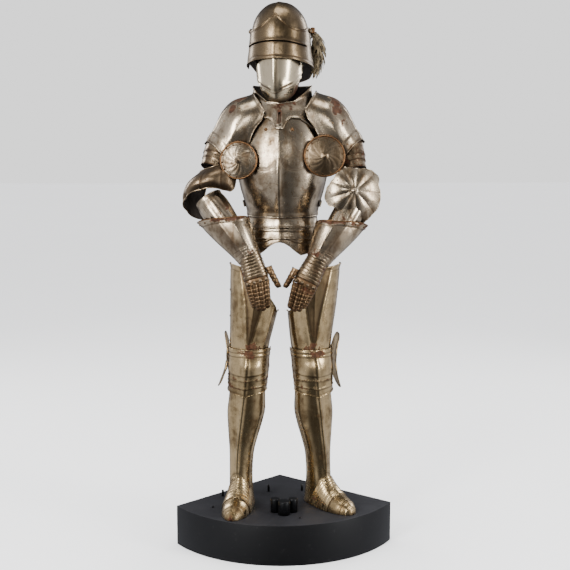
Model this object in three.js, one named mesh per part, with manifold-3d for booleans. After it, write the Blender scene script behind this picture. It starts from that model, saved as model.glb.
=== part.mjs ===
// A Gothic suit of plate armour standing on a quarter-round plinth, in millimetres, +Z up.
// The suit faces -Y. Right and left are the wearer's, so right is -X.
//
// Every plate is a steel wall laid on a form. A form is a stack of rings given by a short table:
//   z       height of the ring, or its distance along a limb
//   x, y    centre of the ring, and turn, the degrees that it is turned about the stack's axis
//   w       half-width, f half-depth in front and b half-depth behind
//   p       squareness: 2 is an ellipse, more is boxier
//   k       height of the ridge that runs down the front
// An angle on a ring is 0 in front, 90 towards +X and 180 behind.
import * as THREE from "three";
import { mergeVertices } from "three/addons/utils/BufferGeometryUtils.js";
import Module from "manifold-3d";

const wasm = await Module();
wasm.setup();

// ---------------------------------------------------------------- driving dimensions
const STEEL = 1.8; // wall of a plate
const LAP = 3.6; // step from a plate to the one that laps it
const SEAM = 2; // degrees left between a front plate and its back plate, on each side
const RIDGE_SPREAD = 16; // degrees over which a ridge falls away
const PLINTH = { halfWidth: 391, apex: 348, bow: 229, height: 145 };
const FIGURE = { at: [2.4, -70.6, PLINTH.height], turn: -3 };
const TORSO = { at: [-9, 15, 0], turn: -5 };
const HEAD = { at: [-17, -5, 0], turn: -10 };
const PIVOT = { y: 0, z: 1686, boss: 9, pin: 3, clearance: 0.4 };
const DEG = Math.PI / 180;

// ---------------------------------------------------------------- tables of rings
const plain = { x: 0, y: 0, turn: 0, p: 2.2, k: 0 };
const form = (shared, rows) => rows.map((row) => ({ ...plain, ...shared, ...row }));

const TORSO_FORM = form({ p: 2.25, k: 5 }, [
  { z: 1030, w: 122, f: 110, b: 92 },
  { z: 1052, w: 118, f: 108, b: 88 },
  { z: 1100, w: 129, f: 126, b: 94 },
  { z: 1160, w: 146, f: 144, b: 103 },
  { z: 1230, w: 158, f: 152, b: 112 },
  { z: 1300, w: 160, f: 144, b: 116 },
  { z: 1360, w: 150, f: 124, b: 115 },
  { z: 1410, w: 130, f: 100, b: 107 },
  { z: 1440, w: 110, f: 84, b: 97 },
  { z: 1465, w: 99, f: 75, b: 88 },
  { z: 1505, w: 94, f: 72, b: 84 },
]);
const SKIRT_FORM = form({ p: 2.3, k: 3 }, [
  { z: 870, w: 168, f: 128, b: 142 },
  { z: 920, w: 160, f: 127, b: 132 },
  { z: 970, w: 147, f: 122, b: 118 },
  { z: 1010, w: 134, f: 116, b: 104 },
  { z: 1040, w: 125, f: 112, b: 95 },
  { z: 1070, w: 122, f: 112, b: 92 },
]);
const SKULL_FORM = form({ y: 4, p: 2.1 }, [
  { z: 1505, w: 112, f: 126, b: 196 },
  { z: 1535, w: 110, f: 125, b: 174 },
  { z: 1560, w: 108, f: 124, b: 156 },
  { z: 1590, w: 105, f: 121, b: 138 },
  { z: 1620, w: 101, f: 117, b: 126 },
  { z: 1655, w: 98, f: 112, b: 118 },
  { z: 1690, w: 94, f: 107, b: 112 },
  { z: 1722, w: 85, f: 96, b: 101 },
  { z: 1747, w: 70, f: 79, b: 84 },
  { z: 1765, w: 52, f: 58, b: 62 },
  { z: 1777, w: 31, f: 35, b: 38 },
  { z: 1784, w: 0.6, f: 0.6, b: 0.6 },
]);
const BEVOR_FORM = form({ b: 60, k: 6 }, [
  { z: 1436, w: 26, f: 50 },
  { z: 1452, w: 45, f: 77 },
  { z: 1470, w: 55, f: 88 },
  { z: 1500, w: 65, f: 97 },
  { z: 1545, w: 73, f: 103 },
  { z: 1610, w: 78, f: 103 },
]);
// Along the shoulder, from the neck outward and down; angle 90 is the top of the shoulder.
const PAULDRON_FORM = form({ p: 2.2 }, [
  { z: -24, x: 3, y: 0, w: 74, f: 104, b: 108 },
  { z: -8, x: 3, y: 0, w: 80, f: 110, b: 112 },
  { z: 45, x: 12, y: 0, w: 92, f: 122, b: 116 },
  { z: 95, x: 8, y: -2, w: 92, f: 124, b: 108 },
  { z: 150, x: -4, y: -12, w: 80, f: 110, b: 94 },
  { z: 212, x: -16, y: -34, w: 69, f: 84, b: 80 },
]);
const UPPER_ARM_FORM = form({ p: 2 }, [
  { z: 100, w: 59, f: 60, b: 58 },
  { z: 150, w: 59, f: 59, b: 58 },
  { z: 200, w: 58, f: 58, b: 57 },
  { z: 240, w: 56, f: 56, b: 55 },
]);
const FOREARM_FORM = form({ p: 2 }, [
  { z: 10, w: 44, f: 46, b: 42 },
  { z: 60, w: 49, f: 49, b: 45 },
  { z: 120, w: 46, f: 46, b: 42 },
  { z: 200, w: 36, f: 35, b: 33 },
  { z: 262, w: 31, f: 29, b: 28 },
]);
// A cuff's z is the share of its length, 0 at the rim and 1 at the wrist.
const CUFF_FORM = form({ p: 2.4, k: 4 }, [
  { z: 0, w: 74, f: 62, b: 60 },
  { z: 0.3, w: 66, f: 57, b: 54 },
  { z: 0.6, w: 54, f: 48, b: 45 },
  { z: 0.85, w: 44, f: 38, b: 36 },
  { z: 1, w: 42, f: 35, b: 33 },
]);
const LEG_GIRTHS = [
  { z: 0, w: 43, f: 60, b: 62 },
  { z: 40, w: 40, f: 56, b: 56 },
  { z: 100, w: 38, f: 48, b: 47 },
  { z: 150, w: 39, f: 43, b: 47 },
  { z: 200, w: 42, f: 43, b: 52 },
  { z: 250, w: 50, f: 46, b: 62 },
  { z: 300, w: 59, f: 50, b: 74 },
  { z: 350, w: 65, f: 54, b: 82 },
  { z: 400, w: 63, f: 54, b: 76 },
  { z: 440, w: 61, f: 56, b: 66 },
  { z: 480, w: 63, f: 62, b: 58 },
  { z: 515, w: 65, f: 68, b: 56 },
  { z: 550, w: 65, f: 67, b: 60 },
  { z: 600, w: 69, f: 70, b: 70 },
  { z: 660, w: 76, f: 77, b: 79 },
  { z: 740, w: 85, f: 84, b: 86 },
  { z: 820, w: 88, f: 88, b: 88 },
  { z: 900, w: 88, f: 88, b: 88 },
];
// Where a leg's rings are centred and how far they turn outward.
const LEG_LINES = {
  right: [
    { z: 0, x: -158, y: 16, turn: -12 },
    { z: 100, x: -160, y: 20, turn: -16 },
    { z: 200, x: -157, y: 22, turn: -16 },
    { z: 350, x: -141, y: 16, turn: -12 },
    { z: 515, x: -130, y: -2, turn: -4 },
    { z: 600, x: -126, y: 2, turn: -2 },
    { z: 740, x: -108, y: 8, turn: 0 },
    { z: 900, x: -103, y: 20, turn: 0 },
  ],
  left: [
    { z: 0, x: 124, y: 30, turn: 38 },
    { z: 100, x: 122, y: 26, turn: 36 },
    { z: 200, x: 119, y: 20, turn: 30 },
    { z: 350, x: 105, y: 10, turn: 22 },
    { z: 515, x: 97, y: -4, turn: 12 },
    { z: 600, x: 92, y: -2, turn: 8 },
    { z: 740, x: 95, y: 6, turn: 4 },
    { z: 900, x: 107, y: 20, turn: 2 },
  ],
};
const FEET = {
  right: { heel: [-148, 80], turn: -9, length: 257 },
  left: { heel: [85, 76], turn: 40, length: 243 },
};
// Arches over the foot, as shares of its length: where the top and the feet of the arch stand.
const FOOT_ARCHES = [
  { top: 0.44, base: 0.26, w: 44, h: 108 },
  { top: 0.51, base: 0.4, w: 46, h: 88 },
  { top: 0.59, base: 0.52, w: 48, h: 70 },
  { top: 0.7, base: 0.66, w: 48, h: 56 },
  { top: 0.82, base: 0.8, w: 43, h: 45 },
  { top: 0.91, base: 0.9, w: 32, h: 34 },
  { top: 0.97, base: 0.97, w: 18, h: 21 },
  { top: 1, base: 1, w: 3, h: 6 },
];

// Joints of the arms, and where the plates that hang on them sit and face.
const ARMS = {
  right: {
    side: -1,
    pauldron: { at: [-79, 15, 1400], outward: 0 },
    shoulder: [-178, 15, 1385],
    elbow: [-275, -80, 1135],
    wrist: [-115, -170, 917],
    knuckles: [-93, -190, 842],
    fingertips: [-80, -172, 744],
    across: [0.95, 0, 0.3],
    thumb: { from: [-57, -186, 898], to: [-20, -184, 826] },
    besagew: { at: [-158, -138, 1251], radius: 61, face: [-0.1, -0.98, 0.12] },
  },
  left: {
    side: 1,
    pauldron: { at: [77, 15, 1406] },
    shoulder: [186, 15, 1385],
    elbow: [256, -78, 1124],
    wrist: [105, -170, 907],
    shell: { at: [234, -150, 1150], face: [0.18, -0.97, 0.12], up: [0.05, 0.1, 0.99] },
    knuckles: [66, -190, 834],
    fingertips: [38, -172, 742],
    across: [0.92, 0, -0.4],
    thumb: { from: [37, -189, 892], to: [0, -184, 826] },
    besagew: { at: [134, -142, 1265], radius: 67, face: [0.05, -0.99, 0.08] },
  },
};
const SHOULDER_SLOPE = 40; // degrees that the shoulder line falls from the neck outward

// ---------------------------------------------------------------- materials
const finish = (color, roughness, metalness) =>
  new THREE.MeshStandardMaterial({ color, roughness, metalness });
const steel = finish(0xa89a84, 0.34, 1);
const helmetSteel = finish(0x8c7b68, 0.38, 1);
const brightSteel = finish(0xcfc8b8, 0.24, 1);
const rustySteel = finish(0x7a5636, 0.5, 0.9);
const feather = finish(0x5b4a36, 0.9, 0);
const black = finish(0x141414, 0.55, 0);

// ---------------------------------------------------------------- rows, points and walls
// Reads a table at a value of its first column, with a smooth curve through the rows.
function sample(rows, by, value) {
  const last = rows.length - 1;
  let i = 0;
  while (i < last - 1 && value > rows[i + 1][by]) i += 1;
  const a = rows[i];
  const b = rows[i + 1];
  const before = rows[Math.max(i - 1, 0)];
  const after = rows[Math.min(i + 2, last)];
  const span = b[by] - a[by];
  const t = THREE.MathUtils.clamp((value - a[by]) / span, 0, 1);
  const out = {};
  for (const key of Object.keys(a)) {
    const slopeA = ((b[key] - before[key]) / (b[by] - before[by])) * span;
    const slopeB = ((after[key] - a[key]) / (after[by] - a[by])) * span;
    const t2 = t * t;
    const t3 = t2 * t;
    const ends = (2 * t3 - 3 * t2 + 1) * a[key] + (3 * t2 - 2 * t3) * b[key];
    out[key] = ends + (t3 - 2 * t2 + t) * slopeA + (t3 - t2) * slopeB;
  }
  return out;
}

// Straight lines through [place, value] pairs.
function along(pairs, place) {
  const last = pairs.length - 1;
  if (place <= pairs[0][0]) return pairs[0][1];
  if (place >= pairs[last][0]) return pairs[last][1];
  const i = pairs.findIndex(([end]) => end >= place);
  const [from, low] = pairs[i - 1];
  const [to, high] = pairs[i];
  return THREE.MathUtils.lerp(low, high, (place - from) / (to - from));
}

const mix = THREE.MathUtils.lerp;

function onForm(rows, angle, z) {
  const ring = sample(rows, "z", z);
  const a = angle * DEG;
  const depth = Math.cos(a) > 0 ? ring.f : ring.b;
  const side = Math.abs(Math.sin(a) / ring.w) ** ring.p;
  const front = Math.abs(Math.cos(a) / depth) ** ring.p;
  const fromFront = Math.abs(((((angle + 180) % 360) + 360) % 360) - 180);
  const reach = (side + front) ** (-1 / ring.p) + ring.k * Math.exp(-fromFront / RIDGE_SPREAD);
  const turned = a + ring.turn * DEG;
  return new THREE.Vector3(ring.x + reach * Math.sin(turned), ring.y - reach * Math.cos(turned), z);
}

// A point that stands off a surface given by place(u, v), u to the right and v up, seen from outside.
function lifted(place, u, v, du, dv, lift) {
  const across = place(u + du, v).sub(place(u - du, v));
  const upward = place(u, v + dv).sub(place(u, v - dv));
  return place(u, v).addScaledVector(across.cross(upward).normalize(), lift);
}

const standOff = (rows, angle, z, lift) => lifted((a, h) => onForm(rows, a, h), angle, z, 1.5, 1, lift);

// Turns the faces of a closed geometry outward if they point inward.
function facingOut(geometry) {
  const index = geometry.index.array;
  const corner = [0, 1, 2].map(() => new THREE.Vector3());
  let volume = 0;
  for (let i = 0; i < index.length; i += 3) {
    corner.forEach((point, k) => point.fromBufferAttribute(geometry.attributes.position, index[i + k]));
    volume += corner[0].dot(corner[1].cross(corner[2]));
  }
  if (volume < 0) {
    for (let i = 0; i < index.length; i += 3) [index[i], index[i + 1]] = [index[i + 1], index[i]];
  }
  return geometry;
}

// The closed wall between at(u, v, thickness) and at(u, v, 0), over a grid of u and v from 0 to 1.
// closed joins the last column to the first, pole gathers the last row in one point, and
// open(u, v) is true in the middle of each cell that is left out.
function wall(columns, rows, at, options = {}) {
  const { thickness = STEEL, closed = false, pole = false, open = () => false } = options;
  const stride = closed ? columns : columns + 1;
  const positions = [];
  for (const lift of [thickness, 0]) {
    for (let j = 0; j <= rows; j += 1) {
      const count = pole && j === rows ? 1 : stride;
      for (let i = 0; i < count; i += 1) positions.push(...at(i / columns, j / rows, lift).toArray());
    }
  }
  const skin = positions.length / 6;
  const id = (i, j) => (pole && j === rows ? rows * stride : j * stride + (closed ? i % columns : i));
  const faces = [];
  const add = (...ids) => {
    for (const [a, b, c] of [[ids[0], ids[1], ids[2]], [ids[0], ids[2], ids[3]]]) {
      if (a !== b && b !== c && c !== a) faces.push(a, b, c);
    }
  };
  const edges = new Map();
  for (let j = 0; j < rows; j += 1) {
    for (let i = 0; i < columns; i += 1) {
      if (open((i + 0.5) / columns, (j + 0.5) / rows)) continue;
      const cell = [id(i, j), id(i + 1, j), id(i + 1, j + 1), id(i, j + 1)];
      add(...cell);
      add(...cell.map((n) => n + skin).reverse());
      cell.forEach((n, k) => {
        const next = cell[(k + 1) % 4];
        if (n !== next) edges.set(`${n}>${next}`, [n, next]);
      });
    }
  }
  for (const [from, to] of edges.values()) {
    if (!edges.has(`${to}>${from}`)) add(to, from, from + skin, to + skin);
  }
  const geometry = new THREE.BufferGeometry();
  geometry.setAttribute("position", new THREE.Float32BufferAttribute(positions, 3));
  geometry.setIndex(faces);
  return facingOut(mergeVertices(geometry, 1e-3));
}

// A plate on a form between two heights, each a number or a function of the angle.
function plate(rows, { angles, z, off = 0, columns, steps, closed = false, ...rest }) {
  const edge = (value, angle) => (typeof value === "function" ? value(angle) : value);
  const at = (u, v, lift) => {
    const [low, high] = typeof angles === "function" ? angles(v) : angles;
    const angle = mix(low, high, u);
    return standOff(rows, angle, mix(edge(z[0], angle), edge(z[1], angle), v), off + lift);
  };
  return wall(columns, steps, at, { closed, ...rest });
}

// A solid through closed rings of points, with flat ends.
function loft(rings) {
  const count = rings[0].length;
  const positions = rings.flat().flatMap((point) => point.toArray());
  const faces = [];
  for (let j = 0; j + 1 < rings.length; j += 1) {
    for (let i = 0; i < count; i += 1) {
      const [a, b] = [j * count + i, j * count + ((i + 1) % count)];
      faces.push(a, b, b + count, a, b + count, a + count);
    }
  }
  const top = (rings.length - 1) * count;
  for (let i = 1; i + 1 < count; i += 1) faces.push(0, i + 1, i, top, top + i, top + i + 1);
  const geometry = new THREE.BufferGeometry();
  geometry.setAttribute("position", new THREE.Float32BufferAttribute(positions, 3));
  geometry.setIndex(faces);
  return facingOut(geometry);
}

function toManifold(geometry) {
  const bare = geometry.clone();
  bare.deleteAttribute("normal");
  bare.deleteAttribute("uv");
  const merged = mergeVertices(bare, 1e-4);
  return new wasm.Manifold(
    new wasm.Mesh({
      numProp: 3,
      vertProperties: new Float32Array(merged.attributes.position.array),
      triVerts: new Uint32Array(merged.index.array),
    }),
  );
}

function fromManifold(solid) {
  const mesh = solid.getMesh();
  const geometry = new THREE.BufferGeometry();
  geometry.setAttribute("position", new THREE.BufferAttribute(mesh.vertProperties, 3));
  geometry.setIndex(new THREE.BufferAttribute(mesh.triVerts, 1));
  return geometry;
}

const cut = (geometry, ...tools) =>
  fromManifold(tools.reduce((solid, tool) => solid.subtract(toManifold(tool)), toManifold(geometry)));
const join = (first, ...others) =>
  fromManifold(others.reduce((solid, other) => solid.add(toManifold(other)), toManifold(first)));

const suit = new THREE.Group();

function add(group, name, geometry, material) {
  const mesh = new THREE.Mesh(geometry, material);
  mesh.name = name;
  group.add(mesh);
}

function turnedGroup(parent, { at, turn }) {
  const group = new THREE.Group();
  group.position.set(...at);
  group.rotation.z = turn * DEG;
  parent.add(group);
  return group;
}

// A group whose +Z runs from one point to another and whose -Y faces as near as it can to a direction.
function limbGroup(parent, from, to, facing) {
  const start = new THREE.Vector3(...from);
  const axis = new THREE.Vector3(...to).sub(start).normalize();
  const back = new THREE.Vector3(...facing).negate();
  back.addScaledVector(axis, -back.dot(axis)).normalize();
  const across = back.clone().cross(axis);
  const group = new THREE.Group();
  group.setRotationFromMatrix(new THREE.Matrix4().makeBasis(across, back, axis));
  group.position.copy(start);
  parent.add(group);
  return group;
}

// ---------------------------------------------------------------- plinth and sword rest
function plinthGeometry() {
  const { halfWidth, apex, bow, height } = PLINTH;
  const chordY = (bow - apex) / 2;
  const radius = (halfWidth ** 2 + bow ** 2) / (2 * bow);
  const centreY = chordY - bow + radius;
  const half = Math.asin(halfWidth / radius);
  const shape = new THREE.Shape();
  shape.moveTo(0, chordY + apex);
  shape.lineTo(-halfWidth, chordY);
  shape.absarc(0, centreY, radius, -Math.PI / 2 - half, -Math.PI / 2 + half, false);
  shape.closePath();
  return new THREE.ExtrudeGeometry(shape, { depth: height, bevelEnabled: false, curveSegments: 14 });
}

const REST = {
  height: 50,
  bore: 8,
  boreDepth: 34,
  hub: { x: -4, y: -84, radius: 20 },
  lobes: [
    { x: -3, y: -101, radius: 22 },
    { x: -35, y: -74, radius: 17 },
    { x: 28, y: -74, radius: 17 },
  ],
};

function post({ x, y, radius }, low, high) {
  const geometry = new THREE.CylinderGeometry(radius, radius, high - low, 20);
  return geometry.rotateX(Math.PI / 2).translate(x, y, (low + high) / 2);
}

function swordRest() {
  const { hub, lobes, height, bore, boreDepth } = REST;
  const block = join(post(hub, 0.3, height - 6), ...lobes.map((lobe) => post(lobe, 0.3, height)));
  return cut(block, post({ ...hub, radius: bore }, height - boreDepth, height + 1));
}

// ---------------------------------------------------------------- head
const SKULL_EDGE = [[0, 1700], [62, 1700], [74, 1640], [88, 1588], [120, 1566], [150, 1532], [180, 1512]];
const VISOR_TOP = [
  [0, 1748], [7, 1733], [14, 1720], [24, 1704], [36, 1694], [60, 1690], [82, 1700], [100, 1696],
];
const VISOR_EDGE = [[0, 1589], [30, 1586], [60, 1575], [100, 1562]];
const SIGHT = { low: 1640, high: 1647, reach: 62 };
const VISOR_REACH = 98;
const VISOR_GAP = 4.6;

function pivotHole() {
  const hole = new THREE.CylinderGeometry(1, 1, 300, 16);
  const radius = PIVOT.pin + PIVOT.clearance;
  return hole.scale(radius, 1, radius).rotateZ(Math.PI / 2).translate(0, PIVOT.y, PIVOT.z);
}

function skullGeometry() {
  const shell = plate(SKULL_FORM, {
    angles: [-180, 180],
    z: [(angle) => along(SKULL_EDGE, Math.abs(angle)), 1784],
    columns: 24,
    steps: 7,
    closed: true,
    pole: true,
  });
  return cut(shell, pivotHole());
}

// The visor's rows: two under the sight, the sight itself, and four above it.
function visorGeometry() {
  const rows = 7;
  const angleAt = (u) => mix(-VISOR_REACH, VISOR_REACH, u);
  const heights = (angle) => {
    const low = along(VISOR_EDGE, Math.abs(angle));
    const high = along(VISOR_TOP, Math.abs(angle));
    const above = [0, 1, 2, 3, 4].map((i) => mix(SIGHT.high, high, i / 4));
    return [low, mix(low, SIGHT.low, 0.5), SIGHT.low, ...above];
  };
  const at = (u, v, lift) => {
    const angle = angleAt(u);
    return standOff(SKULL_FORM, angle, heights(angle)[Math.round(v * rows)], VISOR_GAP + lift);
  };
  const open = (u, v) => Math.floor(v * rows) === 2 && Math.abs(angleAt(u)) < SIGHT.reach;
  return cut(wall(20, rows, at, { open }), pivotHole());
}

// A pin with a domed head outside the visor, through both plates.
function pivotGeometry(side) {
  const outside = onForm(SKULL_FORM, 90, PIVOT.z).x + VISOR_GAP + STEEL;
  const profile = [
    [0, outside - 12],
    [PIVOT.pin, outside - 12],
    [PIVOT.pin, outside + 1.6],
    [PIVOT.boss, outside + 1.6],
    [PIVOT.boss, outside + 4],
    [PIVOT.boss * 0.6, outside + 8],
    [0, outside + 9],
  ].map(([r, h]) => new THREE.Vector2(r, h));
  const pin = new THREE.LatheGeometry(profile, 16).rotateZ(-Math.PI / 2);
  if (side < 0) pin.rotateZ(Math.PI);
  return pin.translate(0, PIVOT.y, PIVOT.z);
}

// The plume's ring centres hang beside and behind the skull.
const PLUME = [
  { x: 100, y: 58, z: 1674, w: 4, d: 7 },
  { x: 107, y: 66, z: 1662, w: 7, d: 16 },
  { x: 113, y: 76, z: 1635, w: 9, d: 26 },
  { x: 117, y: 82, z: 1600, w: 10, d: 30 },
  { x: 117, y: 84, z: 1565, w: 9, d: 26 },
  { x: 115, y: 84, z: 1535, w: 6, d: 16 },
  { x: 112, y: 82, z: 1518, w: 2, d: 5 },
];

function plumeGeometry() {
  const ring = ({ x, y, z, w, d }) =>
    Array.from({ length: 12 }, (_, i) => {
      const a = (i / 12) * 2 * Math.PI;
      return new THREE.Vector3(x + w * Math.cos(a), y + d * Math.sin(a), z);
    });
  return loft(PLUME.map(ring));
}

function plumeSocket() {
  const tube = [[4, 0], [9, 0], [8, 22], [6, 22]].map(([r, h]) => new THREE.Vector2(r, h));
  const profile = [...tube, tube[0]];
  const geometry = new THREE.LatheGeometry(profile, 14);
  return geometry.rotateX(Math.PI / 2).rotateX(-0.35).translate(105, 52, 1680);
}

function buildHead(figure) {
  const head = turnedGroup(figure, HEAD);
  add(head, "sallet_skull", skullGeometry(), helmetSteel);
  add(head, "sallet_visor", visorGeometry(), helmetSteel);
  add(head, "visor_pivot_right", pivotGeometry(-1), helmetSteel);
  add(head, "visor_pivot_left", pivotGeometry(1), helmetSteel);
  add(head, "plume_socket", plumeSocket(), helmetSteel);
  add(head, "plume", plumeGeometry(), feather);
  const bevorEdge = [[0, 1474], [10, 1480], [24, 1492], [40, 1502], [78, 1530]];
  add(
    head,
    "bevor_upper",
    plate(BEVOR_FORM, {
      angles: [-78, 78],
      z: [(a) => along(bevorEdge, Math.abs(a)), 1604],
      off: LAP,
      columns: 14,
      steps: 3,
    }),
    brightSteel,
  );
  const chinTop = [[0, 1490], [40, 1516], [80, 1545]];
  const chinEdge = [[0, 1440], [30, 1448], [60, 1474], [80, 1500]];
  add(
    head,
    "bevor_chin",
    plate(BEVOR_FORM, {
      angles: [-80, 80],
      z: [(a) => along(chinEdge, Math.abs(a)), (a) => along(chinTop, Math.abs(a))],
      columns: 12,
      steps: 2,
    }),
    brightSteel,
  );
}

// ---------------------------------------------------------------- trunk
const GORGET_EDGE = [
  [0, 1353], [5, 1355], [8, 1368], [13, 1384], [20, 1391], [34, 1390], [60, 1376], [90, 1380],
];
const GORGET_NECK = [[0, 1438], [30, 1444], [50, 1466], [70, 1490], [90, 1502]];
const BREAST_REACH = [[1055, 88], [1190, 88], [1235, 78], [1275, 60], [1310, 46], [1350, 38], [1402, 36]];
const BACK_REACH = [[1055, 86], [1190, 86], [1240, 76], [1300, 62], [1360, 56], [1440, 54]];
const FAULD_ARCH = [[0, 972], [8, 968], [16, 958], [24, 942], [33, 926], [36, 928], [60, 940], [88, 946]];

function buildTrunk(figure) {
  const trunk = turnedGroup(figure, TORSO);
  const front = [-90 + SEAM, 90 - SEAM];
  const back = [90 + SEAM, 270 - SEAM];
  const byFront = (pairs) => (angle) => along(pairs, Math.abs(angle));
  const fromBack = (angle) => Math.abs(angle - 180);

  add(
    trunk,
    "gorget_front",
    plate(TORSO_FORM, {
      angles: front,
      z: [byFront(GORGET_EDGE), byFront(GORGET_NECK)],
      off: LAP,
      columns: 16,
      steps: 3,
    }),
    steel,
  );
  add(
    trunk,
    "gorget_back",
    plate(TORSO_FORM, {
      angles: back,
      z: [(a) => 1350 + 0.4 * fromBack(a), 1502],
      off: LAP,
      columns: 12,
      steps: 3,
    }),
    steel,
  );
  add(
    trunk,
    "breastplate",
    plate(TORSO_FORM, {
      angles: (v) => [-1, 1].map((side) => side * along(BREAST_REACH, mix(1055, 1402, v))),
      z: [1057, 1402],
      columns: 14,
      steps: 7,
    }),
    steel,
  );
  add(
    trunk,
    "backplate",
    plate(TORSO_FORM, {
      angles: (v) => [-1, 1].map((side) => 180 + side * along(BACK_REACH, mix(1055, 1440, v))),
      z: [1057, 1430],
      columns: 12,
      steps: 5,
    }),
    steel,
  );
  // The lames step outward as they go down, each under the edge of the one above.
  const fauld = [
    { name: "fauld_lame_1", z: [1020, 1052], off: -LAP },
    { name: "fauld_lame_2", z: [983, 1027], off: -2 * LAP },
    { name: "fauld_lame_3", z: [byFront(FAULD_ARCH), 990], off: -3 * LAP },
  ];
  for (const { name, z, off } of fauld) {
    add(trunk, name, plate(SKIRT_FORM, { angles: front, z, off, columns: 14, steps: 1 }), steel);
  }
  const culet = [
    { name: "culet_lame_1", z: [1012, 1052], off: -LAP },
    { name: "culet_lame_2", z: [980, 1020], off: -2 * LAP },
    { name: "culet_lame_3", z: [(a) => 950 - 0.1 * fromBack(a), 988], off: -3 * LAP },
  ];
  for (const { name, z, off } of culet) {
    add(trunk, name, plate(SKIRT_FORM, { angles: back, z, off, columns: 12, steps: 1 }), steel);
  }
}

// ---------------------------------------------------------------- arms
// A fluted dish about a boss: reach[i] is its radius each 30 degrees from +X towards +Y, and it wraps
// back round radii wrap.inner (-X), wrap.outer (+X) and wrap.length (Y).
function dish({ reach, wrap, flutes = 0, depth = 0, cone = 0, columns = 24, steps = 4 }) {
  const place = (u, v) => {
    const angle = u * 2 * Math.PI;
    const slot = ((u % 1) + 1) * reach.length;
    const i = Math.floor(slot) % reach.length;
    const near = mix(reach[i], reach[(i + 1) % reach.length], slot % 1);
    const r = Math.max(v, 0) * near;
    const x = r * Math.cos(angle);
    const y = r * Math.sin(angle);
    const bend = x > 0 ? wrap.outer : wrap.inner;
    const ripple = depth * v * Math.cos(angle * flutes);
    const back = bend * (1 - Math.cos(x / bend)) + (y * y) / (2 * wrap.length) + cone * v - ripple;
    return new THREE.Vector3(bend * Math.sin(x / bend), -back, y);
  };
  const at = (u, v, lift) => lifted((a, b) => place(a, Math.max(b, 0.02)), u, 1 - v, -0.01, 0.02, lift);
  return wall(columns, steps, at, { closed: true, pole: true });
}

const ELBOW_FAN = {
  reach: [92, 98, 88, 78, 82, 78, 82, 112, 80, 104, 116, 107],
  wrap: { inner: 130, outer: 200, length: 150 },
};
// The right elbow's shell is seen as a bell whose mouth opens down and forward. Each hoop has a centre,
// the directions and radii of its two half-axes, across and forward.
const ELBOW_BELL = [
  { cx: -236, cy: -42, cz: 1224, ax: 0.96, az: 0.28, fy: -1, fz: 0.1, across: 59, forward: 60 },
  { cx: -246, cy: -66, cz: 1184, ax: 0.99, az: 0.14, fy: -0.95, fz: 0.31, across: 84, forward: 74 },
  { cx: -252, cy: -80, cz: 1138, ax: 1, az: 0.05, fy: -0.85, fz: 0.53, across: 93, forward: 79 },
  { cx: -248, cy: -80, cz: 1098, ax: 1, az: 0, fy: -0.67, fz: 0.74, across: 98, forward: 81 },
].map((hoop, place) => ({ place, ...hoop }));

// u runs round the bell from its inner front over the outer side to the back.
function bellGeometry() {
  const place = (u, v) => {
    const hoop = sample(ELBOW_BELL, "place", v * 3);
    const angle = mix(-14, -250, u) * DEG;
    const flute = 1 + 0.015 * v * Math.cos(angle * 8);
    const [x, f] = [Math.cos(angle) * hoop.across * flute, -Math.sin(angle) * hoop.forward * flute];
    return new THREE.Vector3(
      hoop.cx + x * hoop.ax,
      hoop.cy + f * hoop.fy,
      hoop.cz + x * hoop.az + f * hoop.fz,
    );
  };
  return wall(24, 4, (u, v, lift) => lifted(place, u, v, 0.01, 0.03, lift));
}

function facingGroup(parent, { at, face, up }) {
  const forward = new THREE.Vector3(...face).normalize();
  const upward = new THREE.Vector3(...up);
  upward.addScaledVector(forward, -upward.dot(forward)).normalize();
  const back = forward.clone().negate();
  const group = new THREE.Group();
  group.setRotationFromMatrix(new THREE.Matrix4().makeBasis(back.clone().cross(upward), back, upward));
  group.position.set(...at);
  parent.add(group);
  return group;
}

const mirrored = (geometry, side) => (side > 0 ? geometry : facingOut(geometry.scale(-1, 1, 1)));

function pauldronGeometry(side) {
  const frontEdge = [[0, -6], [0.4, -18], [0.8, -36], [1, -44]];
  const angles = (v) => [along(frontEdge, v), along([[0, 186], [1, 222]], v)];
  const neckEdge = (angle) => -4 - 16 * Math.max(0, Math.sin(angle * DEG));
  const armEdge = (angle) => 210 - 42 * Math.max(0, Math.cos(angle * DEG));
  return mirrored(plate(PAULDRON_FORM, { angles, z: [neckEdge, armEdge], columns: 14, steps: 6 }), -side);
}

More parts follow.
